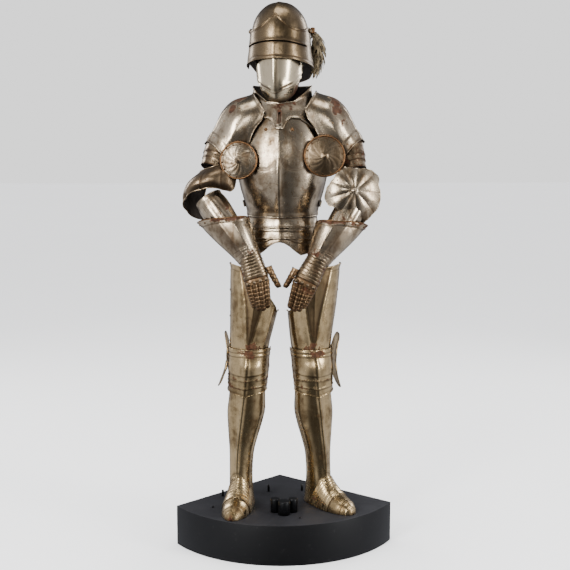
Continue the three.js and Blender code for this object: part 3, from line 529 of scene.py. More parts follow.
class Paint:
    """A material and the nodes that work out its colour, roughness and relief."""

    def __init__(self, name, **fixed):
        self.material = bpy.data.materials.new(name)
        self.material.use_nodes = True
        self.tree = self.material.node_tree
        self.tree.nodes.clear()
        self.shader = self.tree.nodes.new("ShaderNodeBsdfPrincipled")
        output = self.tree.nodes.new("ShaderNodeOutputMaterial")
        self.tree.links.new(self.shader.outputs[0], output.inputs[0])
        self.place = self.node("ShaderNodeTexCoord", out="Object")
        self.maps = {}
        for key, value in fixed.items():
            self.shader.inputs[key.replace("_", " ")].default_value = value

    def node(self, kind, *inputs, out=0, named=None, **settings):
        made = self.tree.nodes.new(kind)
        for key, value in settings.items():
            setattr(made, key, value)
        for key, value in list(enumerate(inputs)) + list((named or {}).items()):
            self.give(made.inputs[key], value)
        return Value(self, made.outputs[out])

    def give(self, socket, value):
        if isinstance(value, Value):
            self.tree.links.new(value.socket, socket)
        elif value is not None:
            socket.default_value = value

    def noise(self, scale, detail=3.0, rough=0.5, stretch=None, twist=0.0):
        place = self.place
        if stretch:
            place = self.node("ShaderNodeVectorMath", place, tuple(stretch), operation="MULTIPLY")
        named = dict(Vector=place, Scale=scale, Detail=detail, Roughness=rough, Distortion=twist)
        return self.node("ShaderNodeTexNoise", named=named)

    def data(self, name, axis):
        if name not in self.maps:
            self.maps[name] = self.node("ShaderNodeUVMap", uv_map=name)
        return self.node("ShaderNodeSeparateXYZ", self.maps[name], out=axis)

    def blend(self, share, first, second):
        named = {0: share, 6: first, 7: second}
        return self.node("ShaderNodeMix", named=named, out=2, data_type="RGBA")

    def relief(self, height, distance, normal=None):
        named = dict(Strength=1.0, Distance=distance, Height=height)
        if normal:
            named["Normal"] = normal
        return self.node("ShaderNodeBump", named=named)

    def finish(self, **sockets):
        for key, value in sockets.items():
            self.give(self.shader.inputs[key.replace("_", " ")], value)
        return self.material


def rgb(r, g, b):
    return (r, g, b, 1.0)


def steel(name, light, dark, rough=0.27, patina=0.5, rust=0.2, grime=0.5, dent=0.0006):
    """Old plate: cloudy tarnish, brown grime along edges, dark brown painted shade with some dirt where a
    piece's second data map marks creases, grooves, overlaps and sides turned from the light, pits, rust, a
    blackened inside.
    """
    p = Paint(name, Specular_IOR_Level=0.15)
    near, inside = p.data("wear", "X"), p.data("wear", "Y")
    shade_and_dirt, rusty = p.data("soil", "X"), p.data("soil", "Y")
    cloud = p.noise(7.0, 6.0, 0.62, twist=0.6)
    streak = p.noise(16.0, 5.0, 0.6, stretch=(2.2, 2.2, 0.45))
    fine = p.noise(120.0, 4.0, 0.6)
    grain = p.noise(420.0, 3.0, 0.6)
    mottle = p.noise(38.0, 6.0, 0.66, twist=0.4)
    clouds = cloud * 0.55 + streak * 0.45 + (mottle - 0.5) * 0.35
    tarnish = clouds.band(0.62 - 0.3 * patina, 0.92 - 0.36 * patina)
    colour = p.blend(tarnish, rgb(*light), rgb(*dark))
    stain = (mottle * 0.6 + fine * 0.4).band(0.55, 0.68) * (0.35 * grime)
    edge = (1.0 - near.band(0.03, 0.45)) * mottle.band(0.38, 0.62) * grime
    # painted shade and dirt from the pieces, grime along the edges and stains, all blended to the dark brown
    # below
    soiled = (shade_and_dirt * 0.9 + edge * 0.75 + stain).math("MINIMUM", 0.93)
    colour = p.blend(soiled, colour, rgb(0.045, 0.026, 0.014))
    patch = (rusty * 1.05 + (mottle - 0.5) * 2.0 + (cloud - 0.5) * 1.2).band(0.46, 0.86)
    speck = (cloud * 0.5 + mottle * 0.5 + fine * 0.12).band(0.66 - 0.1 * rust, 0.76 - 0.1 * rust) * rust
    rusted = (patch + speck).math("MINIMUM", 1.0)
    flakes = p.blend(fine.band(0.35, 0.65), rgb(0.03, 0.012, 0.007), rgb(0.088, 0.033, 0.016))
    colour = p.blend(rusted.band(0.1, 0.65) * 0.92, colour, flakes)
    pit = fine.band(0.66, 0.7) * cloud.band(0.46, 0.6) * 0.75
    colour = p.blend(pit, colour, rgb(0.03, 0.022, 0.018))
    colour = p.blend(inside, colour, rgb(0.032, 0.026, 0.022))
    dull = soiled * 0.22 + rusted * 0.42 + pit * 0.3 + tarnish * 0.1
    roughness = (dull + (grain - 0.5) * 0.16 + rough + inside * 0.35).math("MINIMUM", 0.92)
    metal = (1.0 - rusted * 0.62 - pit * 0.6 - inside * 0.55).math("MAXIMUM", 0.05)
    soft = p.relief(p.noise(15.0, 2.0, 0.4) * 0.8 + mottle * 0.2, dent)
    crisp = p.relief(grain * 0.25 + rusted * 0.6 - pit * 1.4, 0.00022, soft)
    return p.finish(Base_Color=colour, Roughness=roughness, Metallic=metal, Normal=crisp)


ARMOUR = steel("armour_steel", (0.47, 0.385, 0.275), (0.135, 0.093, 0.054), 0.22, 0.76, 0.3, 0.7)
LEG_STEEL = steel("leg_steel", (0.52, 0.385, 0.205), (0.155, 0.102, 0.047), 0.21, 0.72, 0.3, 0.7)
HELMET = steel("helmet_steel", (0.165, 0.118, 0.068), (0.055, 0.038, 0.02), 0.28, 0.7, 0.1, 0.6)
BRIGHT = steel("bright_steel", (0.6, 0.5, 0.34), (0.32, 0.24, 0.14), 0.22, 0.55, 0.12, 0.5)
RUSTY = steel("rusty_steel", (0.23, 0.145, 0.076), (0.085, 0.047, 0.023), 0.32, 0.7, 0.3, 0.8)
BRONZED = steel("bronzed_steel", (0.27, 0.2, 0.125), (0.09, 0.062, 0.035), 0.25, 0.7, 0.25, 0.7)
COPPER = steel("copper_trim", (0.19, 0.1, 0.046), (0.075, 0.038, 0.018), 0.34, 0.6, 0.05, 0.6)


def leather_material():
    p = Paint("leather")
    folds = p.noise(90.0, 5.0, 0.6)
    grain = p.node("ShaderNodeTexVoronoi", named=dict(Vector=p.place, Scale=520.0))
    edge = 1.0 - p.data("wear", "X").band(0.0, 0.1)
    colour = p.blend(folds.band(0.35, 0.7), rgb(0.02, 0.011, 0.007), rgb(0.055, 0.028, 0.015))
    colour = p.blend(edge * 0.4, colour, rgb(0.09, 0.05, 0.028))
    height = p.relief(grain * 0.6 + folds * 0.6, 0.0005)
    return p.finish(Base_Color=colour, Roughness=folds * 0.2 + 0.5, Normal=height)


def feather_material():
    p = Paint("feather")
    across, upward = p.data("lay", "X"), p.data("lay", "Y")
    barbs = (upward * 1900.0 + across * 900.0).math("SINE") * 0.5 + 0.5
    tone = p.noise(30.0, 4.0, 0.6)
    colour = p.blend(tone.band(0.35, 0.65), rgb(0.045, 0.032, 0.016), rgb(0.25, 0.19, 0.105))
    colour = p.blend(barbs * 0.3, colour, rgb(0.03, 0.02, 0.012))
    return p.finish(Base_Color=colour, Roughness=0.85, Normal=p.relief(barbs, 0.0006))


def paint_material(name, dark, dusty, rough):
    """Black paint with dust lying on what faces up, scuffs and a fine tooth."""
    p = Paint(name, Specular_IOR_Level=0.22)
    up = p.node("ShaderNodeSeparateXYZ", p.node("ShaderNodeNewGeometry", out="Normal"), out="Z")
    cloud = p.noise(5.0, 6.0, 0.65, twist=0.5)
    fine = p.noise(260.0, 4.0, 0.65)
    scuff = p.noise(46.0, 6.0, 0.7).band(0.6, 0.72)
    dust = up.band(0.6, 0.95) * (cloud * 0.8 + fine * 0.45 - 0.15)
    colour = p.blend(dust.math("MINIMUM", 1.0), rgb(*dark), rgb(*dusty))
    colour = p.blend(scuff * 0.3, colour, rgb(0.04, 0.038, 0.036))
    roughness = (dust * 0.16 + scuff * 0.15 + (fine - 0.5) * 0.12 + rough).math("MINIMUM", 0.95)
    return p.finish(Base_Color=colour, Roughness=roughness, Normal=p.relief(fine * 0.5 + scuff * 0.3, 0.0003))


LEATHER = leather_material()
FEATHER = feather_material()
PLINTH_PAINT = paint_material("plinth_paint", (0.003, 0.003, 0.0034), (0.042, 0.042, 0.048), 0.44)
BLACK_PAINT = paint_material("black_paint", (0.0035, 0.0035, 0.004), (0.012, 0.012, 0.013), 0.34)
SUIT_SLOTS = [ARMOUR, COPPER, LEATHER]
LEG_SLOTS = [LEG_STEEL, COPPER, LEATHER]
HELMET_SLOTS = [HELMET, COPPER, LEATHER]
BRIGHT_SLOTS = [BRIGHT, COPPER, LEATHER]


# ---------------------------------------------------------------- plates on forms
def stand_off(form, angle, z, off, ridge=16):
    at = form.point(angle, z, ridge)
    if not off:
        return at
    across = form.point(angle + 1.5, z, ridge) - form.point(angle - 1.5, z, ridge)
    upward = form.point(angle, z + 1, ridge) - form.point(angle, z - 1, ridge)
    n = np.cross(across, upward)
    return at + n / np.linalg.norm(n, axis=-1, keepdims=True) * off


def value_of(edge, angle):
    return edge(angle) if callable(edge) else edge + 0 * angle


def on_form(form, angles, z, off=0, ridge=16):
    """place(u, v) over a form between two angles and two heights, and the (angle, z) behind it."""

    def where(u, v):
        low, high = angles(v) if callable(angles) else angles
        angle = mix(low, high, u)
        return angle, mix(value_of(z[0], angle), value_of(z[1], angle), v)

    def place(u, v):
        return stand_off(form, *where(u, v), off, ridge)

    return place, where


def edge_line(skin, side, inset=0.0, lift=0.6, count=90):
    """Points along one edge of a skin: low, high, left or right."""
    t = np.linspace(0, 1, round(count * FINENESS))
    u, v = {"low": (t, 0 * t + inset), "high": (t, 1 - inset + 0 * t),
            "left": (0 * t + inset, t), "right": (1 - inset + 0 * t, t)}[side]
    return skin(u, v, lift)


# ---------------------------------------------------------------- plinth and sword rest
def plinth_outline(inset=0.0, arc_steps=72):
    half, apex, bow = PLINTH["half_width"] - inset, PLINTH["apex"], PLINTH["bow"]
    chord_y = (bow - apex) / 2
    radius = (PLINTH["half_width"] ** 2 + bow**2) / (2 * bow)
    centre_y = chord_y - bow + radius
    radius -= inset
    low = math.asin(half / radius)
    arc = [(radius * math.sin(a), centre_y - radius * math.cos(a)) for a in np.linspace(-low, low, arc_steps)]
    corner = [(0.0, chord_y + apex - inset * 1.35)]
    return np.array(corner + arc)


def build_plinth():
    top, work = PLINTH["height"], bmesh.new()
    levels = [(0, 1.5), (1.5, 0), (top - 2.4, 0), (top - 0.7, 0.7), (top, 2.4)]
    rings = [
        [work.verts.new(Vector((x, y, z)) * MM) for x, y in plinth_outline(inset)] for z, inset in levels]
    for below, above in zip(rings, rings[1:]):
        for i in range(len(below)):
            j = (i + 1) % len(below)
            work.faces.new((below[i], below[j], above[j], above[i])).smooth = len(levels) > 2
    work.faces.new(rings[0][::-1])
    work.faces.new(rings[-1])
    mesh = bpy.data.meshes.new("plinth_body")
    bmesh.ops.recalc_face_normals(work, faces=work.faces)
    work.to_mesh(mesh)
    work.free()
    mesh.materials.append(PLINTH_PAINT)
    mesh.set_sharp_from_angle(angle=40 * DEG)
    thing = bpy.data.objects.new("plinth_body", mesh)
    bpy.context.scene.collection.objects.link(thing)
    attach(thing, "suit")
    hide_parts("plinth")


REST_LOBES = [(-3, -101, 22), (-35, -74, 17), (28, -74, 17)]
REST_HUB = (-4, -84, 20)


def lathe(piece, centre, profile, sides=40, slot=0, matrix=None):
    """A closed turned form about +Z through centre; the profile is (radius, z) pairs."""
    turns = np.arange(sides) * 2 * math.pi / sides
    rings = [np.stack([centre[0] + r * np.cos(turns), centre[1] + r * np.sin(turns), 0 * turns + z], -1)
             for r, z in profile]
    body = np.array(rings)
    if matrix is not None:
        body = body @ np.array(matrix)[:3, :3].T + np.array(matrix)[:3, 3]
    index = np.arange(len(rings) * sides).reshape(len(rings), sides)
    index = np.concatenate([index, index[:, :1]], 1)
    cell = grid_cells(index)
    piece.put(body.reshape(-1, 3), cell, slot, (0.8, 0), (0.1, 0))


def build_rest():
    piece = Piece("sword_rest_block")
    for x, y, r in REST_LOBES:
        profile = [(0.01, 0.4), (r, 0.4), (r, 48), (r - 0.8, 49.5), (r - 2.4, 50), (6, 50), (0.01, 50)]
        if (x, y, r) == REST_LOBES[0]:
            profile = [(0.01, 0.4), (r, 0.4), (r, 48), (r - 0.8, 49.5), (r - 2.4, 50), (0.01, 50)]
        lathe(piece, (x, y), profile)
    x, y, r = REST_HUB
    lathe(piece, (x, y), [(0.01, 0.6), (r, 0.6), (r, 43), (r - 1, 44), (8.6, 44), (8, 43.4), (8, 16),
        (0.01, 16)])
    piece.finish([BLACK_PAINT], ["sword_rest"], slot="black_paint")
    pegs = Piece("plinth_pegs")
    for x, y, tall in ((-232, 95, 24), (-62, 150, 26), (64, 160, 26), (-262, -28, 5), (52, -140, 4)):
        lathe(pegs, (x, y), [(0.01, 0.3), (4.4, 0.3), (4.4, tall - 1), (3.4, tall), (0.01, tall)], 20)
    pegs.finish([BLACK_PAINT], slot="black_paint")


# ---------------------------------------------------------------- head
SKULL_EDGE = [(0, 1668), (62, 1668), (74, 1640), (88, 1588), (120, 1566), (150, 1532), (180, 1512)]
VISOR_TOP = [(0, 1737), (6, 1726), (14, 1711), (24, 1696), (36, 1687), (60, 1684), (82, 1694), (100, 1694)]
VISOR_EDGE = [(0, 1589), (30, 1586), (60, 1575), (100, 1562)]
VISOR_REACH, VISOR_GAP = 98, 4.6
SIGHT = dict(low=1640, high=1647, reach=62)
PIVOT = dict(y=0, z=1686, boss=9)


def folded(angle):
    return np.abs((angle + 180) % 360 - 180)


def sight(angle):
    """The lower and upper edge of the sight, which arches down towards its ends."""
    drop = 15 * np.minimum(np.sin(np.minimum(folded(angle), 90) * DEG) / 0.88, 1) ** 2
    return SIGHT["low"] + 2 - drop, SIGHT["high"] + 1 - drop


def build_skull():
    piece = Piece("sallet_skull_plate", HEAD)
    place, where = on_form(SKULL, (-180, 180), (lambda a: along(SKULL_EDGE, folded(a)), 1784))

    def relief(u, v):
        angle, z = where(u, v)
        behind = folded(angle) > 90
        from_middle = np.where(behind, 180 - folded(angle), folded(angle)) * DEG
        reach = np.abs(np.sin(from_middle)) * (60 + (1784 - z) * 0.7)
        comb = 3.2 * bump(reach, 13) * smooth(1600, 1700, z) * smooth(1786, 1776, z)
        flare = 5 * (1 - smooth(0, 22, z - along(SKULL_EDGE, folded(angle)))) * smooth(70, 100, folded(angle))
        return comb + flare

    # painted shade: a darker band just above the lower rim
    soil = lambda u, v: 0.5 * bump((v - 0.045) * 250, 3)
    vs = np.concatenate([spaced(60, 0, 0.86, True), np.linspace(0.87, 1, 18)])
    skin = piece.wall(place, spaced(150, tight=False), vs, relief, soil, closed=True)
    piece.rim(skin, 160, -0.9, 2.1)
    rear = [u for u in np.linspace(0.02, 0.98, 30) if folded(mix(-180, 180, u)) > 84]
    piece.rivets(skin, [(u, 0.06) for u in rear], 3.6, 2.4, 1)
    piece.finish(HELMET_SLOTS, ["sallet_skull"], slot="helmet_steel")


def build_visor():
    piece = Piece("sallet_visor_plate", HEAD)
    low_rows, slit_rows, high_rows = 26, 2, 44
    total = low_rows + slit_rows + high_rows

    def where(u, v):
        angle = mix(-VISOR_REACH, VISOR_REACH, u)
        low, high = along(VISOR_EDGE, folded(angle)), along(VISOR_TOP, folded(angle))
        row = v * total
        bottom, top = sight(angle)
        below = mix(low, bottom, row / low_rows)
        slit = mix(bottom, top, (row - low_rows) / slit_rows)
        above = mix(top, high, (row - low_rows - slit_rows) / high_rows)
        z = np.where(row <= low_rows, below, np.where(row <= low_rows + slit_rows, slit, above))
        return angle, z

    def relief(u, v):
        angle, z = where(u, v)
        low, high = along(VISOR_EDGE, folded(angle)), along(VISOR_TOP, folded(angle))
        open_here = smooth(SIGHT["reach"] + 14, SIGHT["reach"] - 2, folded(angle))
        lid = sight(angle)[1]
        brow = 3.6 * np.exp(-np.maximum(z - lid, 0) / 8) * (z > lid - 2) * open_here
        keel = 3.2 * crease(angle, 5) * smooth(1650, 1632, z) + 1.2 * crease(angle, 9) * smooth(1650, 1690, z)
        border = 1.5 * smooth(5.5, 3.5, high - z)
        band = -0.9 * bump(z - low - 10, 1.6) + 0.8 * bump(z - low - 3, 3)
        return brow + keel + border + band

    # painted shade: dark in the groove above the lower rim, under the raised top border and round the sight
    # slit
    def soil(u, v):
        angle, z = where(u, v)
        low, high = along(VISOR_EDGE, folded(angle)), along(VISOR_TOP, folded(angle))
        slit = bump(z - sum(sight(angle)) / 2, 7) * (folded(angle) < SIGHT["reach"] + 6)
        return np.clip(0.9 * bump(z - low - 10, 2.2) + 0.7 * bump(high - z - 6.5, 2.2) + 0.6 * slit, 0, 1)

    def hole(u, v):
        angle, _ = where(u, v)
        in_slit = np.abs(v * total - low_rows - slit_rows / 2) < slit_rows / 2
        return in_slit & (folded(angle) < SIGHT["reach"])

    def place(u, v):
        angle, z = where(u, v)
        return stand_off(SKULL, angle, z, VISOR_GAP)

    vs = np.arange(total + 1) / total
    skin = piece.wall(place, spaced(130), vs, relief, soil, hole=hole)
    for side, radius in (("low", 2.0), ("high", 1.3)):
        piece.tube(edge_line(skin, side, lift=-0.4, count=150), radius, soil=(0.1, 0))
    piece.finish(HELMET_SLOTS, ["sallet_visor"], "visor", "helmet_steel")


def build_pivots():
    x = float(SKULL.point(np.array(90.0), np.array(1686.0))[0]) + VISOR_GAP + STEEL
    for name, side in (("right", -1), ("left", 1)):
        piece = Piece(f"visor_pivot_boss_{name}", HEAD)
        matrix = Matrix.Rotation(side * 90 * DEG, 4, "Y")
        matrix = Matrix.Translation((0, PIVOT["y"], PIVOT["z"])) @ matrix
        profile = [(0.01, x - 10), (2.9, x - 10), (2.9, x + 1.7), (9, x + 1.7), (9.2, x + 2.6), (8.4, x + 4),
                   (6.4, x + 4.8), (5.8, x + 6.4), (4.2, x + 8.3), (2, x + 9), (0.01, x + 9.2)]
        lathe(piece, (0, 0), profile, 28, matrix=matrix)
        piece.finish(HELMET_SLOTS, [f"visor_pivot_{name}"], slot="helmet_steel")


PLUME = Form("s x y z w d", [
    (0, 104, 58, 1690, 7, 8), (1, 112, 64, 1680, 15, 18), (2, 118, 72, 1655, 21, 28),
    (3, 120, 78, 1622, 23, 32),
    (4, 118, 80, 1588, 21, 28), (5, 111, 80, 1556, 15, 20), (6, 103, 78, 1532, 6, 8),
])


def build_plume():
    piece = Piece("plume_feathers", HEAD)
    random = np.random.default_rng(7)
    for k in range(150):
        start = 0.05 + 4.6 * ((k * 0.618) % 1)
        length = 0.7 + 0.7 * random.random()
        turn = 2 * math.pi * random.random()
        t = np.linspace(0, 1, 9)
        s = np.minimum(start + length * t, 6.0)
        row = PLUME.sample(s)
        flare = 0.5 + 0.75 * t
        x = row["x"] + row["w"] * math.cos(turn) * flare
        y = row["y"] + row["d"] * math.sin(turn) * flare
        z = row["z"] - 6 * t
        spine = np.stack([x, y, z], -1)
        width = (5.5 + 3 * random.random()) * np.sin(np.clip(0.12 + t * 0.95, 0, 1) * math.pi) ** 0.7
        side = np.array([-math.sin(turn) * 0.5, math.cos(turn), 0.15])
        side /= np.linalg.norm(side)
        ragged = 1 + 0.35 * random.standard_normal((2, len(t)))
        columns = np.stack([spine - side * (width * ragged[0])[:, None], spine,
                            spine + side * (width * ragged[1])[:, None]], 1)
        columns[:, 1, 0] += 1.6 * math.cos(turn)
        us, vs = np.linspace(0, 1, 3), np.linspace(0, 1, len(t))
        read = Skin(us, vs, columns, columns * 0)
        piece.wall(lambda u, v, read=read: read(u, v), us, vs, thick=0.5)
    piece.tube(np.stack([PLUME.data["x"], PLUME.data["y"], PLUME.data["z"]], -1)[:6],
        [2.4, 2.2, 2, 1.6, 1.2, 0.8])
    piece.finish([FEATHER], ["plume"], slot="feather")
    socket = Piece("plume_holder", HEAD)
    matrix = Matrix.Translation((105, 52, 1680)) @ Matrix.Rotation(-0.35, 4, "X")
    lathe(socket, (0, 0), [(4, 0.2), (8.6, 0.2), (9, 1.2), (8.6, 3), (7.8, 17), (8.3, 20), (7.6, 21.8),
        (6, 21.8),
                           (5.6, 17), (4, 0.2)], 26, matrix=matrix)
    socket.finish([COPPER], ["plume_socket"], slot="copper_trim")


def build_bevor():
    edge = [(0, 1474), (6, 1477), (13, 1486), (24, 1492), (40, 1502), (78, 1530)]
    piece = Piece("bevor_face_plate", HEAD)
    place, where = on_form(BEVOR, (-78, 78), (lambda a: along(edge, folded(a)), 1604), LAP, ridge=7)

    def relief(u, v):
        angle, z = where(u, v)
        low = along(edge, folded(angle))
        lip = 2.0 * bump(z - low - 2, 2.6) + 1.6 * bump(z - low - 13 - 0.06 * folded(angle), 2.4)
        lip = lip + 4.5 * crease(angle, 9) * smooth(1476, 1500, z)
        return lip + 2.6 * bump(folded(angle) - 12, 4.5) * smooth(1474, 1492, z) * smooth(1530, 1500, z)

    # painted shade: dark slots painted on the unbroken plate stand for the openings and the shade behind
    # them, and a dark line runs along the shaded side of the middle ridge
    def soil(u, v):
        angle, z = where(u, v)
        low = along(edge, folded(angle))
        off = folded(angle)
        slots = bump(z - low - 8 - 0.04 * off, 4.6) * smooth(5, 9, off) * smooth(40, 32, off)
        return np.clip(1.3 * slots + 0.9 * bump(angle - 3.4, 2.6), 0, 1)

    rust = lambda u, v: 0.35 * smooth(1512, 1478, where(u, v)[1])
    skin = piece.wall(place, spaced(90), spaced(56), relief, soil, rust)
    piece.tube(edge_line(skin, "high", lift=-0.8), 1.8)
    piece.finish(BRIGHT_SLOTS, ["bevor_upper"], slot="bright_steel")

    chin_top = [(0, 1490), (40, 1516), (80, 1545)]
    chin_edge = [(0, 1440), (30, 1448), (60, 1474), (80, 1500)]
    piece = Piece("bevor_chin_plate", HEAD)
    place, where = on_form(BEVOR, (-80, 80), (lambda a: along(chin_edge, folded(a)),
        lambda a: along(chin_top, folded(a))),
                           ridge=9)
    rust = lambda u, v: 0.5 * smooth(0.9, 0.3, v) + 0.25 * bump(folded(where(u, v)[0]) - 60, 16)
    # darker towards the lower edge
    soil = lambda u, v: 0.85 * smooth(0.5, 0.1, v)
    piece.wall(place, spaced(80), spaced(26), None, soil, rust)
    piece.finish(BRIGHT_SLOTS, ["bevor_chin"], slot="bright_steel")


# ---------------------------------------------------------------- trunk
GORGET_EDGE = [(0, 1353), (5, 1355), (8, 1368), (13, 1384), (20, 1391), (34, 1388), (46, 1366), (60, 1336),
    (90, 1326)]
GORGET_NECK = [(0, 1438), (30, 1444), (50, 1466), (70, 1490), (90, 1502)]
BREAST_REACH = [(1055, 88), (1190, 88), (1235, 84), (1275, 74), (1310, 66), (1350, 60), (1402, 56)]
BACK_REACH = [(1055, 86), (1190, 86), (1240, 76), (1300, 62), (1360, 56), (1440, 54)]
FAULD_ARCH = [(0, 972), (8, 968), (16, 958), (24, 942), (33, 926), (36, 928), (60, 940), (88, 946)]
FRONT, BACK = (-90 + SEAM, 90 - SEAM), (90 + SEAM, 270 - SEAM)


def from_back(angle):
    return np.abs(angle - 180)


def build_gorget():
    piece = Piece("gorget_front_plate", TRUNK)
    low = lambda a: along(GORGET_EDGE, folded(a))
    place, where = on_form(TORSO, FRONT, (low, lambda a: along(GORGET_NECK, folded(a))), LAP, ridge=10)
    across = lambda angle: angle * 1.75

    def relief(u, v):
        angle, z = where(u, v)
        strip = 2.2 * smooth(7.5, 6, np.abs(across(angle))) * smooth(1420, 1416, z)
        border = 1.6 * bump(z - low(angle) - 2, 2.5)
        return strip + border + 1.5 * smooth(0.9, 1.0, v)

    # painted shade: dark round the keyhole slot, beside the raised strip and above the lower border; the
    # shade term is the painted shadow of the bevor
    def soil(u, v):
        angle, z = where(u, v)
        x = np.abs(across(angle))
        slot = smooth(3.6, 2.2, x) * smooth(1366, 1370, z) * smooth(1414, 1410, z)
        rim = 0.6 * bump(x - 7.5, 1.6) * smooth(1420, 1416, z)
        shade = 0.75 * smooth(1398, 1440, z) * smooth(46, 10, np.abs(angle - 8))
        return np.clip(slot + rim + 0.7 * bump(z - low(angle) - 6, 2.2) + shade, 0, 1)

    def rust(u, v):
        angle, z = where(u, v)
        # rust below the chin, which partly stands in for the bevor's shadow there
        chin = 0.6 * smooth(1396, 1432, z) * smooth(52, 16, np.abs(angle - 12))
        slot = 0.8 * smooth(6.5, 4, np.abs(across(angle))) * smooth(1362, 1370, z) * smooth(1418, 1412, z)
        return np.clip(chin + slot + 0.35 * smooth(40, 70, angle), 0, 1)

    def hole(u, v):
        angle, z = where(u, v)
        x = np.abs(across(angle))
        return (x < 3.0) & (z > 1370) & (z < 1410)

    us = np.unique(np.concatenate([spaced(76), np.linspace(0.47, 0.53, 21)]))
    skin = piece.wall(place, us, spaced(66), relief, soil, rust, hole=hole)
    piece.tube(edge_line(skin, "high", lift=-0.6), 2.6)
    piece.tube(edge_line(skin, "low", lift=-0.4, count=160), 1.5)
    piece.rivets(skin, [(0.5, 0.9)], 2.6, 2.0, 1)
    piece.finish(SUIT_SLOTS, ["gorget_front"])

    piece = Piece("gorget_back_plate", TRUNK)
    place, where = on_form(TORSO, BACK, (lambda a: 1350 + 0.4 * from_back(a), 1502), LAP)
    skin = piece.wall(place, spaced(60), spaced(34), lambda u, v: 1.5 * smooth(0.9, 1, v)
        + 1.5 * bump((1 - v) * 150 - 30, 4))
    piece.tube(edge_line(skin, "high", lift=-0.6), 2.6)
    piece.tube(edge_line(skin, "low", lift=-0.4), 1.5)
    piece.rivets(skin, [(u, 0.1) for u in np.linspace(0.08, 0.92, 9)], 3.2, 2.0, 1)
    piece.finish(SUIT_SLOTS, ["gorget_back"])


def build_breast():
    piece = Piece("breastplate_shell", TRUNK)
    place, where = on_form(
        TORSO, lambda v: [side * along(BREAST_REACH, mix(1055, 1402, v)) for side in (-1, 1)], (1057, 1402),
        ridge=6)
    sideways = lambda angle: np.sin(angle * DEG) * 150

    def lines(u, v):
        angle, z = where(u, v)
        x = sideways(angle)
        marks = 0 * x
        for side in (-1, 1):
            for radius in (47, 41):
                gap = np.hypot(x - side * 52, z - 1262) - radius
                marks = np.maximum(marks, bump(gap, 2.1) * smooth(1262, 1246, z))
        reach = smooth(104, 90, np.abs(x + 14))
        dots = smooth(0.1, 0.5, np.sin(x * 0.9)) * bump(z - 1174 - 0.06 * x, 1.3) * reach
        dashes = bump(z - 1128 - 0.03 * x, 1.1) * (x > 52) * (x < 100)
        dashes = np.maximum(dashes, bump(z - 1118 - 0.03 * x, 1.1) * (x > 60) * (x < 96))
        return marks, np.clip(dots * 0.8 + dashes, 0, 1)

    def relief(u, v):
        angle, z = where(u, v)
        marks, others = lines(u, v)
        keel = 5.0 * crease(angle, 4.5) * smooth(1290, 1200, z) + 1.5 * bump(angle, 9) * smooth(1200, 1290, z)
        waist = 2.6 * smooth(1072, 1059, z)
        border = 2.0 * smooth(0.028, 0.008, np.minimum(u, 1 - u)) * smooth(1180, 1240, z)
        return keel + waist + border - 0.8 * marks - 0.6 * others

    # painted shade: darker towards the waist and on the sides turned from the light, a painted shadow under
    # the gorget's edge, dark in the pressed arcs and lines, and a dark line on the shaded side of the keel
    def soil(u, v):
        angle, z = where(u, v)
        marks, others = lines(u, v)
        dark = 0.35 * smooth(1100, 1060, z) + 0.45 * smooth(56, 82, folded(angle)) * smooth(1300, 1200, z)
        under = 0.95 * smooth(-8, -2, z - along(GORGET_EDGE, folded(angle))) * (folded(angle) < 40)
        return np.clip(under + 0.85 * marks + others + dark
            + 0.3 * bump(angle - 3.5, 3) * smooth(1290, 1200, z), 0, 1)

    def rust(u, v):
        angle, z = where(u, v)
        return 0.45 * bump(np.hypot(sideways(angle) - 76, z - 1150), 24) + 0.3 * smooth(1090, 1060, z)

    skin = piece.wall(place, spaced(160), spaced(150), relief, soil, rust)
    for side in ("left", "right"):
        piece.tube(edge_line(skin, side, lift=0.2, count=120), 2.4)
    piece.tube(edge_line(skin, "low", lift=0.0), 2.0)
    neck = [(0.5 + side * 0.165, 0.856) for side in (-1, 1)]
    piece.rivets(skin, neck, 6.2, 4.2, 1, sides=18)
    piece.finish(SUIT_SLOTS, ["breastplate"])

    piece = Piece("backplate_shell", TRUNK)
    place, where = on_form(
        TORSO, lambda v: [180 + side * along(BACK_REACH, mix(1055, 1440, v)) for side in (-1, 1)],
        (1057, 1430))

    def relief(u, v):
        angle, z = where(u, v)
        off = from_back(angle)
        up = z - 1060
        flutes = 1.6 * crease(off - 16 - 0.1 * up, 2.2) + 1.6 * crease(off - 30 - 0.12 * up, 2.4)
        return 2.5 * crease(off, 4) + flutes * smooth(1400, 1330, z) + 2.6 * smooth(1072, 1059, z)

    skin = piece.wall(place, spaced(110), spaced(96), relief)
    for side in ("left", "right", "low"):
        piece.tube(edge_line(skin, side, lift=0.1, count=120), 2.1)
    piece.rivets(skin, [(0.5 + s * 0.4, 0.2) for s in (-1, 1)] + [(0.5 + s * 0.3, 0.93) for s in (-1, 1)],
        3.6, 2.4, 1)
    piece.finish(SUIT_SLOTS, ["backplate"])


